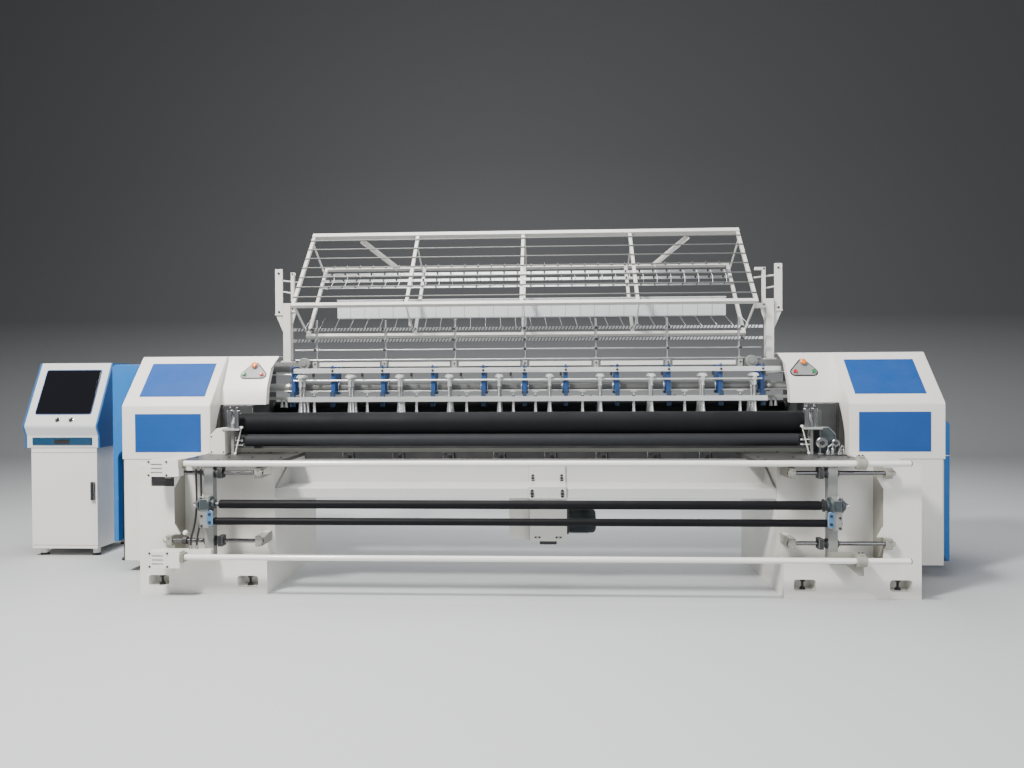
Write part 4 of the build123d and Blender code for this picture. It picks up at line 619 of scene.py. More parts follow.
class Shape:
    """A mesh in the making, in millimetres, with one finish in hand at a time."""

    def __init__(self, finish: Finish, bm: BMesh | None = None) -> None:
        """Starts an empty mesh, or takes one over.

        Args:
            finish: the finish of what is added first.
            bm: a mesh to go on with, in any unit.
        """
        self.bm = bm or bmesh.new()
        self.worn = self.bm.verts.layers.float.new("worn")
        self.finishes: list[Finish] = []
        self.use(finish)

    def use(self, finish: Finish) -> "Shape":
        """Takes another finish in hand for what is added next."""
        if finish not in self.finishes:
            self.finishes.append(finish)
        self.current = self.finishes.index(finish)
        return self

    def settle(self, verts: Iterable[BMVert], soft: float, steps: int = 2,
               turned: bool = False) -> None:
        """Gives new faces their finish and rounds their edges.

        Args:
            verts: the new vertices.
            soft: how far an edge is rounded, or 0.
            steps: how many faces a rounded edge has.
            turned: whether the faces may look inwards and are set right first.
        """
        verts = [v for v in verts if v.is_valid]
        faces = list({f for v in verts for f in v.link_faces})
        if turned:
            bmesh.ops.recalc_face_normals(self.bm, faces=faces)
        for face in faces:
            face.material_index = self.current
            face.smooth = True
            face.normal_update()
        if soft > 0:
            edges = [e for e in {e for v in verts for e in v.link_edges}
                     if e.is_manifold and e.calc_face_angle(0.0) > CREASE]
            if edges:
                made = bmesh.ops.bevel(
                    self.bm, geom=edges, offset=soft, segments=steps, profile=0.5, affect="EDGES",
                    clamp_overlap=True, material=-1)
                ring = set(made["faces"])
                for face in ring:
                    face.smooth = True
                for vert in made["verts"]:
                    if all(f in ring for f in vert.link_faces):
                        vert[self.worn] = 1.0

    def box(self, x: Span, y: Span, z: Span, soft: float = 1.0, steps: int = 2) -> "Shape":
        """A box from three spans with rounded edges."""
        size = (x[1] - x[0], y[1] - y[0], z[1] - z[0], 1.0)
        place = Matrix.Translation(((x[0] + x[1]) / 2, (y[0] + y[1]) / 2, (z[0] + z[1]) / 2))
        made = bmesh.ops.create_cube(self.bm, size=1.0, matrix=place @ Matrix.Diagonal(size))
        self.settle(made["verts"], soft, steps)
        return self

    @staticmethod
    def _between(start: Point, end: Point) -> tuple[Matrix, float]:
        """The matrix that lays +Z from one point to another, and their distance."""
        a, b = Vector(start), Vector(end)
        turn = (b - a).to_track_quat("Z", "Y").to_matrix().to_4x4()
        return Matrix.Translation((a + b) / 2) @ turn, (b - a).length

    def bar(self, start: Point, end: Point, width: float, depth: float,
            soft: float = 0.8) -> "Shape":
        """A flat or square bar between two points.

        Args:
            start: the middle of its first end.
            end: the middle of its other end.
            width: its size across, level where it can be.
            depth: its size at right angles to that.
            soft: how far an edge is rounded.

        Returns:
            This shape.
        """
        place, length = self._between(start, end)
        size = Matrix.Diagonal((width, depth, length, 1.0))
        made = bmesh.ops.create_cube(self.bm, size=1.0, matrix=place @ size)
        self.settle(made["verts"], soft)
        return self

    def stick(self, start: Point, end: Point, radius: float, sides: int = 16,
              soft: float = 0.6) -> "Shape":
        """A round bar between two points."""
        place, length = self._between(start, end)
        made = bmesh.ops.create_cone(
            self.bm, cap_ends=True, segments=sides, radius1=radius, radius2=radius, depth=length,
            matrix=place)
        self.settle(made["verts"], soft)
        return self

    @staticmethod
    def along(axis: Axis, at: Span) -> Matrix:
        """The matrix that turns +Z to an axis and moves it to a place across it.

        Args:
            axis: the axis.
            at: the other two coordinates, in order.

        Returns:
            The matrix.
        """
        if axis is Axis.X:
            return Matrix.Translation((0, at[0], at[1])) @ Matrix.Rotation(math.pi / 2, 4, "Y")
        if axis is Axis.Y:
            return Matrix.Translation((at[0], 0, at[1])) @ Matrix.Rotation(-math.pi / 2, 4, "X")
        return Matrix.Translation((at[0], at[1], 0))

    def rod(self, axis: Axis, at: Span, span: Span, radius: float, sides: int = 24,
            soft: float = 0.8, end: float | None = None) -> "Shape":
        """A round bar along an axis, which may taper.

        Args:
            axis: the axis that it runs along.
            at: the other two coordinates of its centreline.
            span: where it starts and ends.
            radius: its radius where it starts.
            sides: how many sides its circle has.
            soft: how far its ends are rounded.
            end: its radius where it ends, if that is another.

        Returns:
            This shape.
        """
        place = self.along(axis, at) @ Matrix.Translation((0, 0, (span[0] + span[1]) / 2))
        made = bmesh.ops.create_cone(
            self.bm, cap_ends=True, segments=sides, radius1=radius, radius2=radius if end is None
            else end, depth=span[1] - span[0], matrix=place)
        self.settle(made["verts"], soft)
        return self

    def turned(self, axis: Axis, at: Span, profile: Sequence[Span], sides: int = 24,
               place: Matrix | None = None, closed: bool = False) -> "Shape":
        """A shape turned about an axis from points of (place along it, radius).

        Args:
            axis: the axis.
            at: the other two coordinates of the centreline.
            profile: the points, which start and end at radius 0 for a closed shape.
            sides: how many sides its circle has.
            place: a matrix that takes the place of axis and at.
            closed: whether the profile is a loop, as of a ring.

        Returns:
            This shape.
        """
        put = self.along(axis, at) if place is None else place
        verts = [self.bm.verts.new(put @ Vector((radius, 0, step))) for step, radius in profile]
        pairs = list(zip(verts, verts[1:])) + ([(verts[-1], verts[0])] if closed else [])
        edges = [self.bm.edges.new(pair) for pair in pairs]
        axis_way = (put.to_3x3() @ Vector((0, 0, 1))).normalized()
        bmesh.ops.spin(self.bm, geom=verts + edges, cent=put.translation, axis=axis_way,
                       angle=math.tau, steps=sides, use_merge=True)
        self.bm.verts.ensure_lookup_table()
        made = self._grown(verts)
        bmesh.ops.remove_doubles(self.bm, verts=made, dist=WELD_MM)
        made = [v for v in made if v.is_valid]
        self.settle(made, 0.0, turned=True)
        return self

    def drum(self, axis: Axis, at: Span, steps: Sequence[Span], sides: int = 24,
             place: Matrix | None = None) -> "Shape":
        """A solid turned shape from the steps of its side, as turned takes them."""
        profile = ((steps[0][0], 0), *steps, (steps[-1][0], 0))
        return self.turned(axis, at, profile, sides, place)

    def ring(self, axis: Axis, at: Span, bore: float, steps: Sequence[Span], sides: int = 24,
             place: Matrix | None = None) -> "Shape":
        """A turned ring from its bore's radius and the steps of its side."""
        profile = ((steps[0][0], bore), *steps, (steps[-1][0], bore))
        return self.turned(axis, at, profile, sides, place, closed=True)

    @staticmethod
    def _grown(seed: Iterable[BMVert]) -> list[BMVert]:
        """Every vertex that is joined to the given ones."""
        seen = set(seed)
        open_ends = list(seen)
        while open_ends:
            vert = open_ends.pop()
            for edge in vert.link_edges:
                other = edge.other_vert(vert)
                if other not in seen:
                    seen.add(other)
                    open_ends.append(other)
        return list(seen)

    def prism(self, axis: Axis, outline: Sequence[Span], span: Span, soft: float = 1.0,
              steps: int = 2) -> "Shape":
        """An outline pushed out along an axis.

        Args:
            axis: the axis.
            outline: its corners, as the other two coordinates in order.
            span: where it starts and ends.
            soft: how far its edges are rounded.
            steps: how many faces a rounded edge has.

        Returns:
            This shape.
        """
        lift = {Axis.X: lambda p, s: (s, p[0], p[1]), Axis.Y: lambda p, s: (p[0], s, p[1]),
                Axis.Z: lambda p, s: (p[0], p[1], s)}[axis]
        corners = [lift(p, span[0]) for p in outline]
        return self._pushed(corners, Vector(lift((0, 0), span[1] - span[0])), soft, steps)

    def slab(self, plane: Matrix, outline: Sequence[Span], depth: float,
             soft: float = 0.8) -> "Shape":
        """An outline in a plane of its own, pushed out along the plane's normal."""
        corners = [plane @ Vector((p[0], p[1], 0)) for p in outline]
        return self._pushed(corners, plane.to_3x3() @ Vector((0, 0, depth)), soft)

    def _pushed(self, corners: Sequence[Point], way: Vector, soft: float,
                steps: int = 2) -> "Shape":
        """Makes a face of the corners and pushes it out."""
        first = [self.bm.verts.new(corner) for corner in corners]
        face = self.bm.faces.new(first)
        made = bmesh.ops.extrude_face_region(self.bm, geom=[face])["geom"]
        moved = verts_in(made)
        bmesh.ops.translate(self.bm, vec=way, verts=moved)
        self.settle(first + moved, soft, steps, turned=True)
        return self

    def spring(self, at: Span, span: Span, radius: float, wire: float, turns: int) -> "Shape":
        """A coil spring that stands on end.

        Args:
            at: its centreline in X and Y.
            span: its lowest and highest Z.
            radius: from its centreline to the middle of its wire.
            wire: the wire's radius.
            turns: how many turns it has.

        Returns:
            This shape.
        """
        steps = turns * 12
        base = Matrix.Translation((at[0] + radius, at[1], span[0] + wire))
        ring = bmesh.ops.create_circle(
            self.bm, cap_ends=True, radius=wire, segments=6, matrix=base
            @ Matrix.Rotation(math.pi / 2, 4, "X"))
        faces = list({f for v in ring["verts"] for f in v.link_faces})
        rise = (span[1] - span[0] - 2 * wire) / steps
        bmesh.ops.spin(self.bm, geom=ring["verts"] + faces + list(
            {e for v in ring["verts"] for e in v.link_edges}), cent=(at[0], at[1], 0),
            axis=(0, 0, 1), dvec=(0, 0, rise), angle=math.tau * turns, steps=steps)
        self.settle(self._grown(ring["verts"]), 0.0, turned=True)
        return self

    def screw(self, axis: Axis, at: Span, face: float, out: float, radius: float) -> "Shape":
        """A socket head screw on a face: a short drum with a six-sided hole.

        Args:
            axis: the way that its head points.
            at: the other two coordinates.
            face: where the face is along the axis.
            out: how far its head stands out, with the sign of that way.
            radius: the head's radius.

        Returns:
            This shape.
        """
        way = 1 if out > 0 else -1
        deep = face + out - way * abs(out) * 0.55
        return self.drum(
            axis, at, ((face, radius), (face + out * 0.86, radius), (face + out, radius * 0.86),
            (face + out, radius * 0.5), (deep, radius * 0.5)), 12)

    def screws(self, axis: Axis, spots: Iterable[Span], face: float, out: float,
               radius: float) -> "Shape":
        """A screw at each spot of a face."""
        for spot in spots:
            self.screw(axis, spot, face, out, radius)
        return self

    def hexagon(self, axis: Axis, at: Span, face: float, out: float, radius: float) -> "Shape":
        """A six-sided bolt head or nut on a face."""
        span = (min(face, face + out), max(face, face + out))
        return self.rod(axis, at, span, radius, sides=6, soft=radius * 0.09)

    def _all(self) -> list[object]:
        """Every element of the mesh."""
        return self.bm.verts[:] + self.bm.edges[:] + self.bm.faces[:]

    def repeat(self, offsets: Iterable[Point]) -> "Shape":
        """Copies everything made so far to each offset, and takes the first away."""
        geom = self._all()
        for offset in offsets:
            made = bmesh.ops.duplicate(self.bm, geom=geom)["geom"]
            bmesh.ops.translate(self.bm, vec=offset, verts=verts_in(made))
        bmesh.ops.delete(self.bm, geom=verts_in(geom), context="VERTS")
        return self

    def moved(self, x: float) -> "Shape":
        """Moves everything along X."""
        bmesh.ops.translate(self.bm, vec=(x, 0, 0), verts=self.bm.verts)
        return self

    def mirrored(self) -> "Shape":
        """Adds a mirror image of everything on the other side of X = 0."""
        made = bmesh.ops.duplicate(self.bm, geom=self._all())["geom"]
        faces = [f for f in made if isinstance(f, BMFace)]
        bmesh.ops.scale(self.bm, vec=(-1, 1, 1), verts=verts_in(made))
        bmesh.ops.reverse_faces(self.bm, faces=faces)
        return self

    def add(self, other: "Shape", offset: Point = (0, 0, 0)) -> "Shape":
        """Takes in another shape, moved by an offset, and clears it."""
        for finish in other.finishes:
            self.use(finish)
        numbers = [self.finishes.index(f) for f in other.finishes]
        for face in other.bm.faces:
            face.material_index = numbers[face.material_index]
        bmesh.ops.translate(other.bm, vec=offset, verts=other.bm.verts)
        mesh = bpy.data.meshes.new("handover")
        other.bm.to_mesh(mesh)
        self.bm.from_mesh(mesh)
        bpy.data.meshes.remove(mesh)
        other.bm.free()
        return self

    def stand_in(self, node: str, tail: str = "dressed", sharp: float = SHADE_BREAK) -> Object:
        """Turns the shape into the piece that stands for a node, on the node's body."""
        return self.done(f"{node}_{tail}", body_of(node), [node], sharp)

    def done(self, name: str, body: str = "machine", replaces: Sequence[str] = (),
             sharp: float = SHADE_BREAK) -> Object:
        """Turns the shape into a piece in the row frame that rides on a body.

        Args:
            name: the piece's name.
            body: the body that it moves with.
            replaces: the nodes that it stands for.
            sharp: the angle in degrees past which shading breaks.

        Returns:
            The piece.
        """
        bmesh.ops.scale(self.bm, vec=(MM, MM, MM), verts=self.bm.verts)
        bmesh.ops.translate(self.bm, vec=ORIGIN, verts=self.bm.verts)
        return finish_mesh(self.bm, name, self.finishes, body, replaces, sharp)


def put_in(name: str, data: bpy.types.ID) -> Object:
    """Makes an object of its data and puts it in the scene."""
    made = bpy.data.objects.new(name, data)
    bpy.context.scene.collection.objects.link(made)
    return made


def finish_mesh(bm: BMesh, name: str, finishes: Sequence[Finish], body: str,
                replaces: Sequence[str], sharp: float) -> Object:
    """Makes an object of a finished mesh, dresses it and lets it ride on its body.

    Args:
        bm: the mesh, in metres in the row frame.
        name: the piece's name.
        finishes: its finishes, in the order of its material numbers.
        body: the body that it moves with.
        replaces: the nodes that it stands for.
        sharp: the angle in degrees past which shading breaks.

    Returns:
        The piece.
    """
    mesh = bpy.data.meshes.new(name)
    bm.to_mesh(mesh)
    bm.free()
    for finish in finishes:
        mesh.materials.append(SHOP.of(finish))
    mesh.set_sharp_from_angle(angle=math.radians(sharp))
    piece = put_in(name, mesh)
    even = piece.modifiers.new("even_shading", "WEIGHTED_NORMAL")
    even.keep_sharp = True
    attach(piece, body)
    if replaces:
        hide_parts(*replaces)
    log.info("%s: %d faces on %s", name, len(mesh.polygons), body)
    return piece


def body_of(node: str) -> str:
    """The body that a node rides on."""
    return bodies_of(frame["nodes"][node])[0]


Patch = tuple[Finish, Point, Point]


def softened(node: str, finish: Finish, soft: float, patches: Sequence[Patch] = ()) -> Object:
    """Stands a copy of a node in its place, with joined corners and rounded edges.

    Args:
        node: the node's name.
        finish: its finish.
        soft: how far its edges are rounded, in millimetres.
        patches: other finishes, each with the box whose faces take it.

    Returns:
        The piece.
    """
    bm = bmesh.new()
    bm.from_mesh(frame["nodes"][node].data)
    bmesh.ops.remove_doubles(bm, verts=bm.verts, dist=WELD_M)
    bmesh.ops.dissolve_limit(bm, angle_limit=FLAT, verts=bm.verts, edges=bm.edges)
    shape = Shape(finish, bm)
    shape.settle(list(bm.verts), soft * MM)
    for number, (other, low, high) in enumerate(patches, 1):
        shape.use(other)
        for face in bm.faces:
            middle = (face.calc_center_median() - ORIGIN) / MM
            if all(a <= m <= b for a, m, b in zip(low, middle, high)):
                face.material_index = number
    return finish_mesh(bm, f"{node}_body", shape.finishes, body_of(node), [node], SHADE_BREAK)


# ------------------------------------------------------------------- stage


def plane_at(origin: Point, right: Point, out: Point) -> Matrix:
    """The matrix of a plane from its origin, its level direction and its normal."""
    x, z = Vector(right).normalized(), Vector(out).normalized()
    turn = Matrix((x, z.cross(x), z)).transposed().to_4x4()
    turn.translation = origin
    return turn


@dataclass(frozen=True)
class Lamp:
    """A soft box: its place and size in metres, its power and its tint."""

    name: str
    at: Point
    size: Span
    power: float
    tint: Point


@dataclass
class Studio:
    """Floor, lights and camera."""

    eye: Point = (161.0, -4488.0, 1330.0)
    turn: float = 2.693
    dip: float = 0.664
    tilt: float = -0.317
    lens: float = 26.33
    sensor: float = 36.0
    sight: float = 200.0
    floor_half: float = 40.0
    floor_front: float = -20.0
    wall_top: float = 22.0
    bend_at: float = 7.0
    bend: float = 4.5
    bend_steps: int = 16
    floor_colour: Point = (0.50, 0.51, 0.52)
    wall_colour: Point = (0.125, 0.13, 0.135)
    fade: Span = (0.05, 2.6)
    sky: Point = (0.93, 0.95, 1.0)
    surround: float = 0.25
    aim: Point = (0.2, 0.0, 0.9)
    lamps: tuple[Lamp, ...] = (
        Lamp("key", (-3.0, -4.4, 6.6), (1.1, 1.1), 1040.0, (1.0, 0.98, 0.94)),
        Lamp("fill", (4.8, -6.0, 3.0), (4.0, 3.0), 170.0, (0.95, 0.97, 1.0)),
        Lamp("top", (0.0, 0.0, 6.2), (9.0, 3.0), 520.0, (1.0, 1.0, 1.0)),
        Lamp("rear", (1.5, 5.0, 4.6), (6.0, 2.5), 160.0, (0.97, 0.98, 1.0)))

    def build(self) -> None:
        """Makes the camera, the floor and the lights."""
        self._camera()
        self._floor()
        self._lights()

    def _camera(self) -> None:
        """Puts the camera where the photograph was taken from."""
        turn, dip, tilt = (math.radians(a) for a in (self.turn, self.dip, self.tilt))
        ahead = Vector(
            (-math.sin(turn) * math.cos(dip), math.cos(turn) * math.cos(dip), -math.sin(dip)))
        level = ahead.cross(Vector((0, 0, 1))).normalized()
        up = level.cross(ahead)
        right = level * math.cos(tilt) + up * math.sin(tilt)
        up = up * math.cos(tilt) - level * math.sin(tilt)
        place = Matrix((right, up, -ahead)).transposed().to_4x4()
        place.translation = Vector(self.eye) * MM + ORIGIN
        data = bpy.data.cameras.new("photo_view")
        data.lens = self.lens
        data.sensor_width = self.sensor
        data.sensor_fit = "HORIZONTAL"
        data.clip_end = self.sight
        camera = put_in("photo_view", data)
        camera.matrix_world = place
        bpy.context.scene.camera = camera

    def _floor(self) -> None:
        """Lays a wide pale floor that curves up into a darker wall far behind."""
        bm = bmesh.new()
        line = [(self.floor_front, 0.0)]
        for i in range(self.bend_steps + 1):
            angle = math.pi / 2 * i / self.bend_steps
            line.append(
                (self.bend_at + self.bend * math.sin(angle), self.bend * (1 - math.cos(angle))))
        line.append((self.bend_at + self.bend, self.wall_top))
        verts = [bm.verts.new((-self.floor_half, y, z)) for y, z in line]
        edges = [bm.edges.new(pair) for pair in zip(verts, verts[1:])]
        made = bmesh.ops.extrude_edge_only(bm, edges=edges)["geom"]
        bmesh.ops.translate(bm, vec=(2 * self.floor_half, 0, 0), verts=verts_in(made))
        bmesh.ops.recalc_face_normals(bm, faces=bm.faces)
        for face in bm.faces:
            face.smooth = True
        mesh = bpy.data.meshes.new("studio_floor")
        bm.to_mesh(mesh)
        bm.free()
        mesh.materials.append(self._floor_paint())
        floor = put_in("studio_floor", mesh)

    def _floor_paint(self) -> Material:
        """The floor's pale finish, which darkens up the wall."""
        material = bpy.data.materials.new("studio_floor")
        material.use_nodes = True
        shader = material.node_tree.nodes["Principled BSDF"]
        bench = NodeBench(material.node_tree)
        parts = bench.node("ShaderNodeSeparateXYZ")
        bench.link(bench.node("ShaderNodeTexCoord").outputs["Object"], parts.inputs[0])
        share = bench.ramp(parts.outputs["Z"], *self.fade)
        colour = bench.mix(share, self.floor_colour, self.wall_colour)
        bench.link(colour, shader.inputs["Base Color"])
        shader.inputs["Roughness"].default_value = 0.6
        return material

    def _lights(self) -> None:
        """Hangs soft boxes in front, above and behind, in a dim surround."""
        world = bpy.data.worlds.new("studio")
        world.use_nodes = True
        sky = world.node_tree.nodes["Background"]
        sky.inputs["Color"].default_value = (*self.sky, 1.0)
        sky.inputs["Strength"].default_value = self.surround
        bpy.context.scene.world = world
        for lamp in self.lamps:
            data = bpy.data.lights.new(lamp.name, "AREA")
            data.shape, data.size, data.size_y = "RECTANGLE", *lamp.size
            data.energy, data.color = lamp.power, lamp.tint
            hung = put_in(lamp.name, data)
            hung.location = lamp.at
            way = Vector(self.aim) - Vector(lamp.at)
            hung.rotation_euler = way.to_track_quat("-Z", "Y").to_euler()


# ------------------------------------------------------------------- hoses


@dataclass
class AirHoses:
    """The two hoses that hang from the left deck plate to the lower bracket."""

    radius: float = 6.0
    real_length: float = 0.51
    gland_r: float = 10.0
    routes: dict[str, tuple[Point, ...]] = field(default_factory=lambda: {
        "hose_outer": ((-1968, -50, 800), (-1968, -50, 700), (-1962, -54, 560), (-1975, -58, 430),
        (-2000, -64, 350), (-2000, -64, 290)), "hose_inner": ((-1938, -50, 800), (-1938, -50, 705),
        (-1934, -53, 570), (-1940, -58, 440), (-1962, -64, 350), (-1962, -64, 290))})

    def build(self) -> None:
        """Makes both hoses and their ends."""
        for name, route in self.routes.items():
            hose = self._hose(name, route)
            top, low = route[0], route[-1]
            ends = Shape(F.zinc)
            for (x, y, z), nut, neck in ((top, -16, -26), (low, 14, 24)):
                ends.rod(Axis.Z, (x, y), sorted((z, z + nut)), self.gland_r, sides=6, soft=0.9)
                ends.rod(Axis.Z, (x, y), sorted((z + nut, z + neck)), self.radius + 2, sides=16)
            fittings = ends.done(f"{name}_fittings", "carriage")

    def _hose(self, name: str, route: Sequence[Point]) -> Object:
        """Makes one hose as a smooth curve through its route.

        Args:
            name: the piece's name.
            route: the control points.

        Returns:
            The hose.
        """
        curve = bpy.data.curves.new(name, "CURVE")
        curve.dimensions = "3D"
        curve.bevel_depth = self.radius * MM
        curve.bevel_resolution = 4
        curve.resolution_u = 12
        curve.use_fill_caps = True
        spline = curve.splines.new("NURBS")
        spline.points.add(len(route) - 1)
        for spot, point in zip(spline.points, route):
            spot.co = (*(Vector(point) * MM + ORIGIN), 1.0)
        spline.order_u = 3
        spline.use_endpoint_u = True
        curve.materials.append(SHOP.of(F.hose))
        hose = put_in(name, curve)
        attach(hose, "carriage")
        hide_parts("air_hoses")
        log.info("%s: %d control points", name, len(route))
        return hose


# ---------------------------------------------------------------- outlines


def rounded(points: Sequence[Span], radius: float, steps: int = 4) -> list[Span]:
    """The outline that a disc sweeps round a convex shape of two or more points.

    Args:
        points: the shape's corners, anticlockwise.
        radius: the disc's radius.
        steps: how many edges each corner has.

    Returns:
        The corners of the swept outline.
    """
    swept = []
    for i, (x, y) in enumerate(points):
        before, after = points[i - 1], points[(i + 1) % len(points)]
        start = math.atan2(before[0] - x, y - before[1])
        turn = (math.atan2(x - after[0], after[1] - y) - start) % math.tau
        for step in range(steps + 1):
            angle = start + turn * step / steps
            swept.append((x + radius * math.cos(angle), y + radius * math.sin(angle)))
    return swept


def half_turn(steps: int) -> list[float]:
    """The angles of a half turn in even steps."""
    return [math.pi * i / steps for i in range(steps + 1)]


def round_spots(middle: Span, radius: float, count: int, first: float = 0.0) -> list[Span]:
    """Even places on a circle, from a first angle in degrees."""
    angles = [math.radians(first + 360 * i / count) for i in range(count)]
    return [(middle[0] + radius * math.cos(a), middle[1] + radius * math.sin(a)) for a in angles]


def plate(middle: Span, width: float, height: float, radius: float) -> list[Span]:
    """The outline of a rectangle with round corners."""
    across, up = width / 2 - radius, height / 2 - radius
    corners = ((-across, -up), (across, -up), (across, up), (-across, up))
    return rounded([(middle[0] + x, middle[1] + y) for x, y in corners], radius)


def shifted(line: Sequence[Span], out: float) -> list[Span]:
    """An open line moved to its left by a distance, with its corners kept."""
    points = [Vector(p) for p in line]
    ways = [(b - a).normalized() for a, b in zip(points, points[1:])]
    normals = [Vector((-w.y, w.x)) for w in ways]
    pairs = zip([normals[0], *normals], [*normals, normals[-1]])
    return [tuple(p + (a + b) * out / (1 + a.dot(b))) for p, (a, b) in zip(points, pairs)]


def bent(line: Sequence[Span], radius: float, steps: int = 6) -> list[Span]:
    """An open line with its inner corners turned over a radius."""
    points = [Vector(p) for p in line]
    made = [points[0]]
    for before, corner, after in zip(points, points[1:], points[2:]):
        back, ahead = (before - corner).normalized(), (after - corner).normalized()
        half = back.angle(ahead) / 2
        reach = min(
            radius / math.tan(half), (before - corner).length / 2.2, (after - corner).length / 2.2)
        first, last = corner + back * reach, corner + ahead * reach
        for step in range(steps + 1):
            share = step / steps
            made.append(first.lerp(corner, share).lerp(corner.lerp(last, share), share))
    made.append(points[-1])
    return [tuple(p) for p in made]


# ------------------------------------------------------------------ covers


@dataclass
class EndCovers:
    """Seams, corner webs, rear doors and casings of the two end heads."""

    inner: float = 2127.0
    outer: float = 2735.0
    front: float = 485.0
    back: float = 1200.0
    seam: float = 772.0
    hood_in: float = 1800.0
    vents: int = 9
    vent_pitch: float = 22.0
    slots: int = 11
    slot_pitch: float = 40.0

    def build(self) -> None:
        """Makes what the sheet covers carry."""
        self._seams()
        self._webs()
        self._rear()
        self._casings()

    def _seams(self) -> None:
        """Lays a dark strip along the seam between the upper and lower covers, and up the inner
        side: painted shadow in the gaps.
        """
        # Black strips as painted shadow in the cover gaps.
        joint = Shape(F.black)
        low, high = self.seam - 1.4, self.seam + 1.4
        for x, y in (((self.inner + 3, self.outer - 3), (self.front - 0.5, self.front + 2)),
                     ((self.outer - 2, self.outer + 0.5), (self.front + 20, self.back - 20)),
                     ((self.inner + 3, self.outer - 3), (self.back - 2, self.back + 0.5))):
            joint.box(x, y, (low, high), 0)
        joint.box((self.inner - 0.6, self.inner + 1), (self.front + 3, self.front + 32), (
            self.seam + 2, 1128), 0)
        joint.mirrored().done("cover_seam_shadows")

    def _webs(self) -> None:
        """Closes the side between each cover's face and its hood, edges the hood, and puts dark
        plates in the gap behind as painted shade.
        """
        webs = Shape(F.white)
        sweep = [(553 + 97 * s ** 1.4, 917 + 213 * s) for s in (1 - i / 9 for i in range(10))]
        side = ((486, 774), (486, 1135.6), (770, 1474), (803, 1474), (668, 1247), (653, 1137))
        webs.prism(Axis.X, [*side, *sweep, (553, 774)], (self.inner - 3.4, self.inner - 0.2), 0.7)
        webs.box((self.hood_in + 4, self.inner - 2), (651, 668), (1134.6, 1137.6), 0.9)
        webs.mirrored().done("hood_webs")
        # Dark plates behind the hood's gap stand in for the shade inside the head: painted shade.
        dark = Shape(F.dark)
        for y, z in (((646, 650), (790, 1134)), ((650, 1090), (786, 790))):
            dark.box((self.inner - 31, self.inner - 3.6), y, z, 0.6)
        dark.mirrored().done("head_gap_shade_plates")

    def _rear(self) -> None:
        """Gives the backs of the covers a service door, its latches, and black strips as painted
        shade for slots for air.
        """
        doors = Shape(F.white)
        middle = (self.inner + self.outer) / 2
        for spot, width, height in (((middle, 1118), 470, 560), ((middle + 150, 430), 250, 520)):
            doors.prism(Axis.Y, plate(spot, width, height, 12), (self.back, self.back + 3), 0.9)
        doors.mirrored().done("rear_doors")
        trim = Shape(F.black)
        for z in (930, 1306):
            trim.drum(Axis.Y, (self.inner + 92, z), ((self.back + 3, 13), (self.back + 6, 13),
                      (self.back + 7, 11)), 20)
            trim.box((self.inner + 89.5, self.inner + 94.5), (self.back + 7, self.back + 10),
                     (z - 9, z + 9), 0.8)
        # Black strips for the air slots: painted shade in the openings.
        for i in range(self.vents):
            spot = (middle + 150, 300 + self.vent_pitch * i)
            trim.prism(Axis.Y, plate(spot, 170, 7, 3.4), (self.back + 3, self.back + 3.5), 0)
        trim.mirrored().done("rear_latches")

    def _casings(self) -> None:
        """Adds the casings' split lines, flap, the recess with its slots in a dark blue that is
        painted shade, and feet.
        """
        trim = Shape(F.tube_white)
        trim.box((self.outer, 2890.5), (723.2, 725), (767, 772), 0.3)
        trim.box((2888, 2890.8), (725, 1249), (767, 772), 0.3)
        trim.use(F.deep_blue)
        trim.prism(Axis.Y, ((2738, 52), (2872, 52), (2850, 92), (2738, 120)), (719, 724), 1.2)
        # The recess plate and its slots are dark blue as painted shade.
        trim.use(F.recess)
        arch = [(-2862 + 60 * math.cos(a), 745 + 60 * math.sin(a)) for a in half_turn(14)]
        trim.prism(Axis.Y, [(-2922, 153), (-2802, 153), *arch], (802.6, 805), 0)
        for i in range(self.slots):
            z = 230 + i * self.slot_pitch
            trim.box((-2905, -2819), (799.5, 803), (z, z + 8), 1.0)
        trim.use(F.black)
        for x in (-2920, -2780):
            trim.drum(Axis.Z, (x, 830), ((0, 26), (10, 28), (18, 20), (24, 12), (150, 12)), 20)
        trim.done("casing_trim")


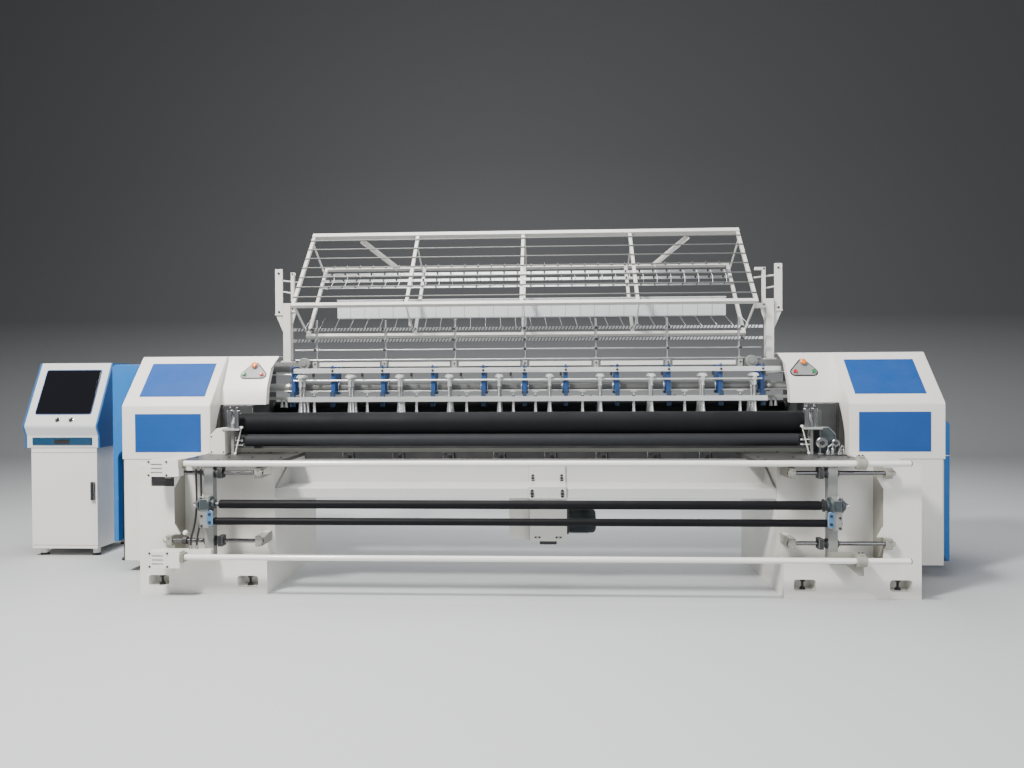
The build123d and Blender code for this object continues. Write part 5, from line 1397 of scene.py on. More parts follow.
@dataclass
class HoodButtons:
    """The three push buttons of each hood, their rings and the dark backing plate."""

    across: float = 1915.0
    mid: Span = (738.71, 1372.03)
    slope: Span = (-0.86145, 0.50784)
    spots: dict[str, Span] = field(default_factory=lambda: {
        "stop": (0, 36), "start": (62, -36), "jog": (-62, -36)})

    def build(self) -> None:
        """Makes the fixed rings and each moving button."""
        for side, sign in SIDES:
            plane = plane_at((sign * self.across, *self.mid), (1, 0, 0), (0, *self.slope))
            back = Shape(F.black)
            corners = (self.spots["jog"], self.spots["start"], self.spots["stop"])
            back.slab(plane, rounded(corners, 33), 1.4, 0.5)
            back.use(F.chrome)
            for x, y in self.spots.values():
                spot = plane @ Matrix.Translation((x, y, 0))
                back.ring(Axis.Z, (0, 0), 8.4, ((6, 17), (9, 16.4), (10.8, 15), (10.8, 13.4),
                          (7, 13.4)), 28, place=spot)
            back.done(f"{side}_button_rings")
            for name, (x, y) in self.spots.items():
                self._button(side, name, plane @ Matrix.Translation((x, y, 0)))

    def _button(self, side: str, name: str, spot: Matrix) -> None:
        """Makes one button in place of its plain node.

        Args:
            side: left or right.
            name: the button's name.
            spot: the plane of the button, on its hood.
        """
        start, jog = (F.red, F.green) if side == "left" else (F.green, F.red)
        finish = {"stop": F.orange, "start": start, "jog": jog}[name]
        mushroom = ((5.6, 0), (5.6, 8), (11.5, 8), (11.5, 12), (18, 12.5), (20.5, 18), (22.5, 21),
                    (26, 21), (30, 18.5), (32.6, 12), (33.5, 0))
        cap = ((5.6, 0), (5.6, 8), (11.5, 8), (11.5, 12.6), (18.6, 13), (20.2, 12.2), (20.5, 11),
               (19.6, 9.4), (19.2, 0))
        button = Shape(finish)
        button.turned(Axis.Z, (0, 0), mushroom if name == "stop" else cap, 32, place=spot)
        button.stand_in(f"{side}_{name}_button", "cap", sharp=50.0)


# ------------------------------------------------------------------ stands


@dataclass
class Stands:
    """Bolts, screws, corner plates and the black slot of the two welded stands."""

    pockets: Span = (1676.0, 2232.0)
    anchor_ys: Span = (45.0, 935.0)
    splice_xs: Span = (65.0, 251.0)
    splice_rows: tuple[Span, Span] = ((368.0, 662.0), (128.0, 599.0))
    block_xs: Span = (1593.0, 2148.0)

    def build(self) -> None:
        """Makes the loose parts of both stands."""
        self._anchors()
        self._blocks()
        self._plates()

    def _anchors(self) -> None:
        """Stands the anchor bolts in the pockets and the bolts on the splice plate."""
        bolt = Shape(F.oxide)
        bolt.drum(Axis.Z, (0, 0), ((45, 19), (47, 19), (48, 18)))
        bolt.rod(Axis.Z, (0, 0), (48, 60), 15, sides=6, soft=1.4)
        ridges = [(60 + i * 1.5, 7.4 - (i % 2) * 0.9) for i in range(24)]
        bolt.turned(Axis.Z, (0, 0), ((60, 0), *ridges, (96, 7), (96, 0)), 16)
        bolt.rod(Axis.Z, (0, 0), (92, 107), 15, sides=6, soft=1.4)
        bolt.repeat([
            (s * x, y, 0) for _, s in SIDES for x in self.pockets for y in self.anchor_ys])
        joint = Shape(F.oxide)
        for x in self.splice_xs:
            for y, z in self.splice_rows:
                joint.use(F.oxide)
                joint.prism(Axis.Y, rounded(((x, z - 17), (x, z + 17)), 9.5), (y - 0.6, y + 1), 0)
                joint.use(F.zinc)
                joint.drum(Axis.Y, (x, z), ((y, 13), (y - 2, 13)), 20)
                joint.use(F.oxide)
                joint.hexagon(Axis.Y, (x, z), y - 2, -7.5, 9)
        bolt.add(joint)
        bolt.done("stand_bolts", replaces=["frame_bolts"])

    def _blocks(self) -> None:
        """Puts screws, nuts and ends on the blocks that hold the guide shafts."""
        metal = Shape(F.zinc)
        metal.screws(Axis.Y, [(x, z + up) for x in self.block_xs for z in AT.guide_zs
                     for up in (-22, 22)], -42, -7, 6.5)
        for z in AT.guide_zs:
            spot = (AT.guide_y, z)
            metal.hexagon(Axis.X, spot, 2166, 13, 21)
            metal.drum(Axis.X, spot, ((2179, 13), (2187, 12), (2189, 10)))
            metal.ring(Axis.X, spot, 12.6, ((1575, 19), (1569, 18)), 28)
        metal.mirrored().done("block_screws")

    def _plates(self) -> None:
        """Adds the corner plates by the outer blocks, a strip by the inner and the slot."""
        plates = Shape(F.white)
        for corner, low in ((715, 652), (365, 428)):
            plates.prism(Axis.Y, ((2130.5, corner), (2130.5, low), (2096, corner)), (1, 13), 1.0)
        plates.box((1556, 1640), (141, 152), (770, 787), 0.8)
        plates.mirrored().done("stand_corners")
        # Black boxes in the stand's slot: painted shade in the opening.
        slot = Shape(F.black)
        slot.box((-2274, -2126), (6.6, 8.6), (661, 721), 0.6)
        slot.box((-2262, -2138), (3.6, 7), (686, 696), 1.2)
        slot.done("stand_slot")


# ---------------------------------------------------------------- carriage


@dataclass
class Carriage:
    """What the sliding carriage carries besides its frame and its rollers."""

    body: str = "carriage"
    decks: tuple[Span, ...] = ((-2095.0, -1465.0), (1395.0, 2025.0))
    deck_screw_ys: Point = (-28.0, 130.0, 440.0)
    cylinders: tuple[Span, Span] = ((1886.0, 340.0), (1818.0, 284.0))
    tube_y: float = -110.0
    tube_zs: Span = (813.0, 252.0)

    def build(self) -> None:
        """Makes the trim, the lifting gear and the clamps."""
        self._deck()
        self._lifts()
        self._links()
        self._clamps()
        self._right_gear()

    def _deck(self) -> None:
        """Gives the deck plates their bare front edge and their screws."""
        edge = Shape(F.steel)
        for low, high in self.decks:
            edge.box((low + 1, high - 1), (-61.4, -59), (801.2, 820.8), 0.5)
        edge.done("deck_edges", self.body)
        screws = Shape(F.oxide)
        for low, high in self.decks:
            middle = (low + high) / 2
            screws.screws(Axis.Z, [(x, y) for x in (low + 45, middle - 60, middle + 90, high - 45)
                          for y in self.deck_screw_ys], 822, 5, 8.5)
        screws.done("deck_screws", self.body)

    def _lifts(self) -> None:
        """Stands the drive boxes and the pair of cylinders at each end plate."""
        for side, sign in SIDES:
            lifts = Shape(F.white if side == "left" else F.bearing)
            lifts.prism(Axis.Y, ((1906, 822), (2006, 822), (2006, 949), (1961, 994), (1906, 994)),
                        (300, 420), 3.0, 3)
            lifts.use(F.grey)
            lifts.box((1904, 2008), (297, 423), (822, 829), 1.2)
            lifts.box((1796, 1912), (262, 304), (982, 994), 2.0)
            lifts.use(F.chrome)
            for x, y in self.cylinders:
                lifts.drum(
                    Axis.Z, (x, y), ((994, 20.5), (1004, 20.5), (1005, 16.5), (1096, 16.5),
                    (1097, 20.5), (1110, 20.5), (1112, 18), (1112, 7), (1130, 7), (1132, 5)), 28)
            lifts.use(F.oxide)
            for x, y in self.cylinders:
                lifts.hexagon(Axis.Z, (x, y), 1112, 8, 12)
                lifts.hexagon(Axis.Z, (x, y), 982, -9, 11)
            lifts.screws(Axis.Y, ((1916, 840), (1996, 840), (1916, 980), (1996, 940)), 300, -4, 5)
            if sign < 0:
                bmesh.ops.scale(lifts.bm, vec=(-1, 1, 1), verts=lifts.bm.verts)
                bmesh.ops.reverse_faces(lifts.bm, faces=lifts.bm.faces)
            lifts.moved(AT.shift).done(f"{side}_lift_drive", self.body, ["lift_drives"])

    def _links(self) -> None:
        """Hangs the thin slanted links, the bearings and the sleeves of the uprights."""
        links = Shape(F.tube_white)
        top, low = (1794, 296, 1000), (1836, 296, 832)
        links.bar(top, low, 9, 6, 1.5)
        for (x, _, z), radius in ((top, 9), (low, 8)):
            links.rod(Axis.Y, (x, z), (290, 304), radius, 24, 1.2)
        links.use(F.chrome)
        links.stick((1794, 300, 1000), (1822, 300, 1000), 6, 16)
        for z, radius in ((915, 10), (884, 8)):
            links.drum(
                Axis.X, (320, z), ((1790, radius), (1800, radius), (1802, 6), (1849, 6)), 20)
        links.use(F.zinc)
        for spot, radius in ((AT.upper_feed, 34), (AT.lower_feed, 30)):
            links.turned(Axis.X, spot, ((1866, 18), (1866, radius), (1872, radius),
                         (1875, radius - 6), (1876, 18)), 32, closed=True)
            links.ring(Axis.X, spot, 18, ((1850, radius - 4), (1846, radius - 6)), 32)
        links.use(F.link_blue)
        links.prism(Axis.Y, plate((1820, 488), 36, 94, 15), (-121, -110), 2.5, 3)
        links.use(F.dark)
        for z in AT.guide_zs:
            spot = (AT.guide_y, z)
            links.box((1776, 1805), (-50, 10), (z - 32, z + 32), 2.5)
            links.ring(Axis.X, spot, 12.9, ((1805, 22), (1822, 22), (1822, 30), (1830.8, 30)), 28)
            links.ring(Axis.X, spot, 12.9, ((1885.2, 28), (1891, 28), (1893, 20), (1898, 19)), 28)
        links.use(F.oxide)
        links.screws(Axis.Y, ((1820, 464), (1820, 512)), -121, -6, 8)
        links.screws(Axis.Y, ((1872, 440), (1872, 500), (1872, 604)), -113, -6, 7)
        links.mirrored().moved(AT.shift).done("carriage_links", self.body)
        self._bearings()

    def _bearings(self) -> None:
        """Rounds the dark bearings at the ends of the upper nip roller."""
        bearing = Shape(F.bearing)
        at = AT.upper_nip
        bearing.ring(Axis.X, at, 12.8, ((1799, 27), (1803, 31), (1815, 31), (1817, 42), (1820, 47),
                     (1827, 50), (1830.6, 50)), 36)
        bearing.ring(Axis.X, at, 12.8, ((1885.4, 44), (1892, 44), (1896, 38), (1898, 26),
                     (1908, 25), (1910, 22)), 36)
        bearing.box((1834, 1882), (-120, -112), (534, 600), 3.0)
        bearing.use(F.oxide)
        for y, z in round_spots(at, 38, 6, 30):
            bearing.hexagon(Axis.X, (y, z), 1819, -7, 5.5)
            bearing.hexagon(Axis.X, (y + 0.5, z), 1893, 6, 5.0)
        bearing.use(F.chrome)
        bearing.hexagon(Axis.X, at, 1911, 12, 17)
        bearing.rod(Axis.X, at, (1923, 1934), 8, 16)
        bearing.stick((1858, -116, 608), (1858, -122, 634), 5, 12)
        bearing.mirrored().moved(AT.shift).done("nip_bearings", self.body)

    def _clamps(self) -> None:
        """Clamps the front tubes: olive blocks on the left, split rings on the right."""
        clamps = Shape(F.olive)
        for z in self.tube_zs:
            clamps.box((-2040, -2012), (-141, -81), (z - 29, z + 27), 2.5)
            clamps.box((-2033, -2019), (-143, -140), (z - 20, z + 18), 1.0)
        clamps.use(F.clamp)
        for z in self.tube_zs:
            clamps.ring(Axis.X, (self.tube_y, z), 17.6, ((1928, 33), (1930, 35), (1946, 35),
                        (1947, 33.5), (1963, 33.5), (1964, 35), (1980, 35), (1982, 33)), 36)
            clamps.box((1936, 1974), (-128, -92), (z + 30, z + 44), 2.0)
        clamps.use(F.oxide)
        for z, middle in zip(self.tube_zs, (787, 241)):
            clamps.screws(Axis.Z, ((1945, self.tube_y), (1965, self.tube_y)), z + 44, 6, 6)
            clamps.screws(Axis.Y, [(x, middle + up) for x in (-2212, -2104) for up in (-40, 40)],
                          -142, -5, 6)
        clamps.done("tube_clamps", self.body)
        ends = Shape(F.black)
        for z in self.tube_zs:
            ends.drum(Axis.X, (self.tube_y, z), ((2233, 17.2), (2237, 17.2), (2239, 14)), 28)
        ends.done("tube_plugs", self.body)

    def _right_gear(self) -> None:
        """Adds the valves and fittings beside the right drive box."""
        gear = Shape(F.chrome)
        gear.drum(Axis.Y, (1866, 900), ((246, 30), (250, 34), (262, 34), (264, 22), (300, 22)), 36)
        gear.drum(Axis.Y, (1946, 900), ((236, 20), (240, 24), (256, 24), (258, 16), (299, 16)), 32)
        for x, z, r in ((1902, 850, 13), (1930, 862, 10), (1972, 846, 13), (1998, 856, 9)):
            gear.drum(Axis.Z, (x, 250), ((822, r + 3), (830, r + 3), (831, r), (z, r),
                      (z + 5, r - 4), (z + 5, 4), (z + 22, 4)), 20)
        gear.stick((1902, 250, 872), (1936, 246, 896), 4.5, 12)
        gear.stick((1972, 250, 862), (1990, 246, 884), 4.5, 12)
        gear.use(F.oxide)
        gear.hexagon(Axis.Y, (1866, 900), 246, -8, 15)
        gear.hexagon(Axis.Y, (1946, 900), 236, -8, 11)
        gear.box((1884, 2012), (228, 276), (822.4, 828), 1.5)
        gear.use(F.strip)
        gear.box((1900, 1944), (470, 486), (824, 1090), 3.0)
        gear.done("right_valves", self.body)
        lock = Shape(F.dark)
        lock.ring(Axis.X, (AT.guide_y, AT.guide_zs[0]), 12.6, ((-2066, 22), (-2064, 24),
                  (-2040, 24), (-2038, 22)), 28)
        lock.rod(Axis.Z, (-2052, AT.guide_y), (355, 366), 6, 12)
        lock.use(F.tube_white)
        lock.turned(Axis.Z, (-2052, AT.guide_y), [
            (379 - 16 * math.cos(a), 16 * math.sin(a)) for a in half_turn(12)])
        lock.done("shaft_lock")


@dataclass
class Rollers:
    """The four rollers with their steel journals and end discs."""

    cheek: float = 0.62
    disc_x: float = 1784.0
    teeth: int = 20

    def build(self) -> None:
        """Makes each roller in place of its plain node."""
        rollers = (
            ("upper_feed_roller", AT.upper_feed, 74.0, 1830.0, 17.5, 1876.0, F.rubber),
            ("lower_feed_roller", AT.lower_feed, 40.0, 1785.0, 17.5, 1876.0, F.smooth_rubber),
            ("upper_nip_roller", AT.upper_nip, 26.0, 1772.0, 12.5, 1895.0, F.nip_rubber),
            ("lower_nip_roller", AT.lower_nip, 22.0, 1808.0, 12.5, 1895.0, F.nip_rubber))
        for node, at, radius, half, journal, end, cover in rollers:
            low, high = AT.shift - half, AT.shift + half
            first, last = AT.shift - end, AT.shift + end
            inset = radius * self.cheek
            roller = Shape(cover)
            roller.turned(Axis.X, at, ((low, inset), (low, radius - 3), (low + 3, radius),
                          (high - 3, radius), (high, radius - 3), (high, inset)), 64)
            roller.use(F.shaft)
            roller.turned(Axis.X, at, (
                (first, 0), (first, journal - 2), (first + 2, journal), (low - 4, journal),
                (low - 4, inset - 3), (low - 3, inset), (low, inset)), 48)
            roller.turned(Axis.X, at, (
                (high, inset), (high + 3, inset), (high + 4, inset - 3), (high + 4, journal),
                (last - 2, journal), (last, journal - 2), (last, 0)), 48)
            if node == "upper_nip_roller":
                self._disc(roller, at)
            roller.stand_in(node, sharp=40.0)

    def _disc(self, roller: Shape, at: Span) -> None:
        """Adds the toothed disc at the right end of the upper nip roller."""
        x = AT.shift + self.disc_x
        roller.use(F.oxide)
        roller.ring(Axis.X, at, 12.5, ((x - 2, 24), (x, 26), (x, 34), (x + 8, 34)), 40)
        for spot in round_spots(at, 34.5, self.teeth):
            roller.rod(Axis.X, spot, (x + 1, x + 7), 3.0, 6, 0)


# ------------------------------------------------------------- needle head


@dataclass
class NeedleHead:
    """Rods, springs, feet, hangers' bolts and the trim of the needle head."""

    pin_xs: tuple[float, ...] = (78.0, 408.0, 764.0, 1117.0, 1498.0)
    hanger_xs: tuple[float, ...] = (0.0, 292.5, 654.0, 1015.5, 1377.0, 1667.0)
    rail_screw_xs: tuple[float, ...] = (470.0, 1060.0, 1641.0)
    coil_top: float = 1255.0
    coil_radius: float = 10.4
    coil_wire: float = 2.0
    coil_turns: int = 14

    def build(self) -> None:
        """Makes every piece of the head."""
        self._rods()
        self._feet()
        self._pins()
        self._springs()
        self._hangers()
        self._front()

    def _rods(self) -> None:
        """Makes the needle rods with their yokes, bars, clamps and needles."""
        one = Shape(F.satin)
        for y in AT.rows[:2]:
            one.drum(
                Axis.Z, (0, y), ((1255, 12.6), (1257, 14), (1263, 14), (1264, 12), (1318, 12)))
            one.use(F.steel)
            one.drum(Axis.Z, (0, y), ((1088, 5), (1090, 7), (1106, 7), (1108, 5), (1256, 5)), 16)
            one.use(F.oxide)
            one.rod(Axis.Y, (0, 1098), (y - 9.5, y - 5), 2.2, 8, 0.3)
            one.use(F.satin)
        one.use(F.yoke)
        arch = [(-28 * math.cos(a), 1318 + 23 * math.sin(a)) for a in half_turn(12)]
        one.prism(Axis.Y, arch, (764, 872), 1.6)
        one.box((-13, 13), (766, 870), (1291, 1320), 2.5)
        one.drum(Axis.Y, (0, 1318), ((764, 9), (758, 9), (757, 7.5)), 20)
        one.use(F.oxide)
        one.screw(Axis.Z, (0, 818), 1340, 6, 7)
        one.repeat([(x, 0, 0) for x in AT.rod_xs])
        bar = Shape(F.satin)
        bar.rod(Axis.X, (818, 1299), (-1660, 1660), 7, 24, 1.0)
        one.add(bar)
        one.stand_in("needle_rods")
        needle = Shape(F.chrome)
        for y in AT.rows[:2]:
            needle.turned(Axis.Z, (0, y), ((1046, 0), (1052, 0.9), (1060, 1.25), (1080, 1.5),
                          (1083, 2.2), (1090, 2.2), (1090, 0)), 10)
        needle.repeat([(x, 0, 0) for x in AT.rod_xs])
        needle.stand_in("needles", sharp=60.0)

    def _feet(self) -> None:
        """Makes the flared feet and the narrow ones under the pins."""
        flared = Shape(F.foot)
        flared.turned(Axis.Z, (0, 0), (
            (1148, 10), (1137, 10), (1137, 13), (1130, 13.6), (1126, 12.4), (1085, 16.5),
            (1050, 21.4), (1044, 22.4), (1043, 21.6), (1043, 20), (1050, 18.6), (1090, 12),
            (1100, 6.2), (1148, 6.2)), 24, closed=True)
        flared.repeat([(x, y, 0) for x in AT.rod_xs for y in AT.rows])
        narrow = Shape(F.foot)
        narrow.turned(Axis.Z, (0, 0), (
            (1148, 0), (1148, 8.5), (1122, 8.5), (1120, 10.4), (1112, 10.4), (1110, 8.6),
            (1060, 12.8), (1045, 14.4), (1043, 13.6), (1043, 12), (1052, 10.6), (1064, 0)), 24)
        narrow.repeat([(s * x, AT.rows[0], 0) for x in self.pin_xs for _, s in SIDES])
        flared.add(narrow)
        flared.stand_in("presser_feet", sharp=40.0)

    def _pins(self) -> None:
        """Makes the short pins with their domed heads and lock nuts."""
        pin = Shape(F.satin)
        pin.drum(Axis.Z, (0, 780), ((1182, 7), (1212, 7)), 20)
        arch = [(-21 * math.cos(a), 1212 + 14 * math.sin(a)) for a in half_turn(10)]
        pin.prism(Axis.Y, arch, (765, 795), 1.2)
        pin.use(F.oxide)
        pin.hexagon(Axis.Z, (0, 780), 1182, 7, 12)
        pin.repeat([(s * x, 0, 0) for x in self.pin_xs for _, s in SIDES])
        pin.stand_in("presser_pins")

    def _springs(self) -> None:
        """Coils the springs under the rods, and puts washers and screws on the rails."""
        coil = Shape(F.spring)
        coil.spring((0, 0), (AT.rail_top, self.coil_top), self.coil_radius, self.coil_wire,
                    self.coil_turns)
        coil.repeat([(x, y, 0) for x in AT.rod_xs for y in AT.rows[:2]])
        springs = coil.done("needle_springs", body_of("presser_rails"), sharp=80.0)
        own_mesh(springs)
        rails = Shape(F.steel)
        for y in AT.rows:
            rails.ring(Axis.Z, (0, y), 6.3, ((1182, 15), (1184.5, 14.4)))
        rails.repeat([(x, 0, 0) for x in AT.rod_xs])
        ends = Shape(F.oxide)
        between = [(a + b) / 2 for a, b in zip(AT.rows, AT.rows[1:])]
        spots = [(s * x, y) for _, s in SIDES for x in self.rail_screw_xs for y in between]
        ends.screws(Axis.Z, spots, AT.rail_top, 4, 6)
        rails.add(ends)
        rails.done("rail_washers", body_of("presser_rails"))

    def _hangers(self) -> None:
        """Bolts the hangers, rings the main shaft and lays the thin rods and shaft ends."""
        bolts = Shape(F.deep_blue)
        xs = sorted({s * x for x in self.hanger_xs for _, s in SIDES})
        for x in xs:
            bolts.box((x - 11, x + 11), (811, 831), (1385, 1401), 3.0)
        bolts.use(F.oxide)
        for x in xs:
            bolts.hexagon(Axis.Y, (x, 1368), 816, -6, 9)
            bolts.hexagon(Axis.Z, (x, 820), 1401, 6, 7)
            bolts.screws(Axis.Y, ((x, 1216), (x, 1336)), 830, -5, 5.5)
        bolts.use(F.zinc)
        for x in xs:
            for way in (-1, 1):
                face = x + way * 23
                bolts.ring(Axis.X, AT.main_shaft, 33, ((face, 41), (face + way * 3, 40)), 40)
        bolts.done("hanger_bolts")
        rail = Shape(F.satin)
        rail.rod(Axis.X, (888, 1222), (-1888, 1888), 5, 20, 0)
        rail.done("rear_rod")
        links = Shape(F.satin)
        links.rod(Axis.X, (872, 1342), (1681, 1890), 7, 20, 0)
        links.use(F.grey)
        links.box((1692, 1889), (900, 930), (1160, 1181), 2.0)
        links.use(F.satin)
        for x in (1750, 1782):
            links.drum(Axis.Z, (x, 915), ((1160, 6), (1146, 6), (1106, 13), (1104, 12)), 20)
        links.mirrored().done("head_end_rods")
        ends = Shape(F.grey)
        ends.drum(Axis.X, AT.main_shaft, ((1710.4, 30), (1884, 30), (1886, 28)), 40)
        ends.use(F.zinc)
        ends.ring(Axis.X, AT.main_shaft, 30.2, ((1716, 40), (1738, 40), (1740, 38)), 40)
        ends.mirrored().done("shaft_ends", body_of("main_shaft"))

    def _front(self) -> None:
        """Covers the front of the head beam and hangs the thread hooks."""
        panels = Shape(F.tube_white)
        for low, high in zip(AT.post_xs, AT.post_xs[1:]):
            panels.box((low + 34, high - 34), (951, 961), (1400, 1431), 1.2)
        panels.use(F.grey)
        for x in AT.post_xs:
            panels.box((x - 17, x + 17), (949, 961), (1366, 1438), 2.0)
            panels.box((x - 24, x + 24), (957, 1024), (1434, 1443), 1.5)
        panels.use(F.oxide)
        panels.screws(Axis.Y, [(x, z) for x in AT.post_xs for z in (1382, 1420)], 949, -5, 5.5)
        panels.done("head_panels")
        hooks = Shape(F.black)
        for x in AT.rod_xs:
            hooks.box((x + 72, x + 88), (815, 832), (1326, 1353), 1.5)
            hooks.stick((x + 80, 823, 1328), (x + 84, 800, 1316), 2.4, 8)
            hooks.stick((x + 84, 800, 1316), (x + 96, 796, 1322), 2.2, 8)
        hooks.done("thread_hooks")


# ------------------------------------------------------------- thread rack


@dataclass
class ThreadRack:
    """Pegs, wires, teeth, collars and braces of the thread rack."""

    middle: float = -22.0
    half: float = 1672.0
    front: tuple[Span, Span] = ((880.0, 1846.0), (1410.0, 2440.0))
    back: tuple[Span, Span] = ((1220.0, 1640.0), (1730.0, 2225.0))
    shares: tuple[float, ...] = (0.89, 0.79, 0.69)
    pitch: float = 110.0
    tooth_pitch: float = 24.0
    comb: float = 3340.0
    comb_zs: Span = (1588.0, 1669.0)
    ribs: int = 26
    rib_pitch: float = 108.0
    rib_middle: float = 30.0
    tray_x: Span = (-1424.5, 1484.5)
    tray_y: Span = (1107.5, 1201.5)
    rim: float = 5.5
    rim_z: Span = (1899.0, 1906.0)
    bolt_pitch: float = 830.0

    def build(self) -> None:
        """Makes all the small parts of the rack."""
        self._pegs()
        self._teeth()
        self._collars()
        self._braces()
        self._tray()
        self._supports()

    @staticmethod
    def _on(plane: tuple[Span, Span], x: float, share: float, out: float) -> Point:
        """A point on a frame's leaning plane, out from it towards the front.

        Args:
            plane: the plane's foot and top, as Y and Z.
            x: the point's X.
            share: how far up the plane it is.
            out: how far it stands out.

        Returns:
            The point.
        """
        low, top = Vector(plane[0]), Vector(plane[1])
        way = (top - low).normalized()
        spot = low.lerp(top, share) + Vector((-way.y, way.x)) * out
        return (x, spot.x, spot.y)

    def _pegs(self) -> None:
        """Sets the dark guides on the strips, the wires between them and the pins."""
        count = int(2 * self.half / self.pitch)
        xs = [self.middle + (i - (count - 1) / 2) * self.pitch for i in range(count)]
        pegs = Shape(F.black)
        for share, out in (*((share, 16) for share in self.shares), (1.0, 14)):
            for x in xs:
                pegs.bar(self._on(self.back, x, share, out - 1),
                         self._on(self.back, x, share, out + 13), 11, 11, 1.2)
                pegs.stick(self._on(self.back, x - 9, share, out + 9),
                           self._on(self.back, x + 9, share, out + 9), 2.4, 6, 0)
        pegs.done("thread_guides")
        wires = Shape(F.chrome)
        for x in xs:
            bends = [self._on(self.back, x + along, share, out) for (along, out), share in zip(
                ((22, 22), (30, 20), (20, 22)), self.shares)]
            for start, end in zip(bends, bends[1:]):
                wires.stick(start, end, 1.7, 6, 0)
        top, low = Vector((0, *self.back[1])), Vector((0, 1098, 1769))
        for x in xs:
            across = Vector((x, 0, 0))
            wires.stick(
                across + top + Vector((0, 0, 12)), across + top + Vector((0, 0, 32)), 2.6, 8, 0.4)
            wires.stick(across + low, across + Vector((16, 902, 1680)), 1.4, 6, 0)
        wires.done("thread_wires")

    def _teeth(self) -> None:
        """Hangs slanted teeth with a short pin along both tension bars."""
        tooth = Shape(F.dark)
        tooth.bar((5.5, 899.4, 10.4), (-5.5, 899.4, -10.4), 3.4, 6.0, 0)
        tooth.stick((-5, 899, -9), (-7, 899, -17), 1.2, 6, 0)
        count = int(self.comb / self.tooth_pitch)
        tooth.repeat([((i - (count - 1) / 2) * self.tooth_pitch, 0, z) for i in range(count)
                     for z in self.comb_zs])
        tooth.done("comb_teeth", sharp=60.0)

    def _collars(self) -> None:
        """Clamps the bars and wires to their posts, and caps each post."""
        post = Shape(F.zinc)
        post.ring(Axis.Z, (0, 1000), 9, ((1443, 21), (1447, 21), (1449, 15), (1462, 14)), 28)
        zs = (1522.0, *self.comb_zs)
        for z in zs:
            post.box((-13, 13), (986, 1014), (z - 12, z + 12), 1.5)
        post.drum(Axis.Z, (0, 1000), ((1733, 10), (1740, 9), (1743, 6)), 20)
        post.use(F.oxide)
        post.screws(Axis.X, [(1007, z) for z in zs], 13, 5, 5)
        for z, y in zip(zs, (950.0, 905.0, 905.0)):
            post.box((-9, 9), (y - 8, y + 8), (z - 9, z + 9), 1.2)
        post.repeat([(x, 0, 0) for x in AT.post_xs])
        post.done("post_collars")

    def _braces(self) -> None:
        """Lays the flat braces under the top of the rack and bolts its corners."""
        brace = Shape(F.rack_white)
        for s in (-1, 1):
            top = (self.middle + s * 1290, self.front[1][0] + 20, self.front[1][1] - 30)
            low = (self.middle + s * 1060, self.back[1][0] - 20, self.back[1][1] + 2)
            brace.bar(top, low, 4, 46, 1.0)
        brace.done("top_braces")
        bolts = Shape(F.oxide)
        for i in (-2, -1, 0, 1, 2):
            x = self.middle + i * self.bolt_pitch
            way = -1 if i < 0 else 1
            for share in (0.05, 0.95):
                for plane in (self.front, self.back):
                    spot = self._on(plane, x, share, 0)[1:]
                    bolts.hexagon(Axis.X, spot, x + way * 20, way * 6, 8)
        bolts.done("rack_bolts")

    def _tray(self) -> None:
        """Ribs the thread tray outside and rolls its rim."""
        tray = Shape(F.grey)
        for i in range(self.ribs):
            x = self.rib_middle + (i - (self.ribs - 1) / 2) * self.rib_pitch
            for y in ((1109.4, 1112.4), (1196.6, 1199.6)):
                tray.box((x - 1.6, x + 1.6), y, (1770, 1899), 0.6)
        tray.use(F.tray)
        (left, right), (near, far) = self.tray_x, self.tray_y
        for y in ((near, near + self.rim), (far - self.rim, far)):
            tray.box((left + 0.5, right - 0.5), y, self.rim_z, 1.6)
        for x in ((left, left + self.rim), (right - self.rim, right)):
            tray.box(x, self.tray_y, self.rim_z, 1.6)
        tray.done("tray_ribs")

    def _supports(self) -> None:
        """Adds the struts, feet, arms and bolts of the two rack supports."""
        ends = Shape(F.rack_white)
        ends.prism(Axis.Y, ((1790, 1640), (1790, 1785), (1852, 1785)), (1001, 1009), 1.2)
        ends.prism(Axis.Y, ((1735, 1690), (1735, 1806), (1700, 1806)), (1001, 1009), 1.2)
        ends.box((1722, 1803), (962, 1048), (1435, 1447), 2.0)
        ends.bar((1802, 1020, 2044), (1668, 1058, 2032), 26, 10, 2.0)
        ends.bar((1802, 1020, 1962), (1716, 1020, 1948), 22, 10, 2.0)
        ends.use(F.oxide)
        for x, y in ((1728, 970), (1797, 970), (1728, 1040), (1797, 1040)):
            ends.hexagon(Axis.Z, (x, y), 1447, 7, 8)
        for z in (1810, 2096):
            ends.hexagon(Axis.Y, (1828, z), 1000, -6, 9)
        for z in (1832, 2090):
            ends.hexagon(Axis.Y, (1722, z), 990, -5, 7)
        ends.mirrored().done("support_trim")


# ----------------------------------------------------------------- cabinet


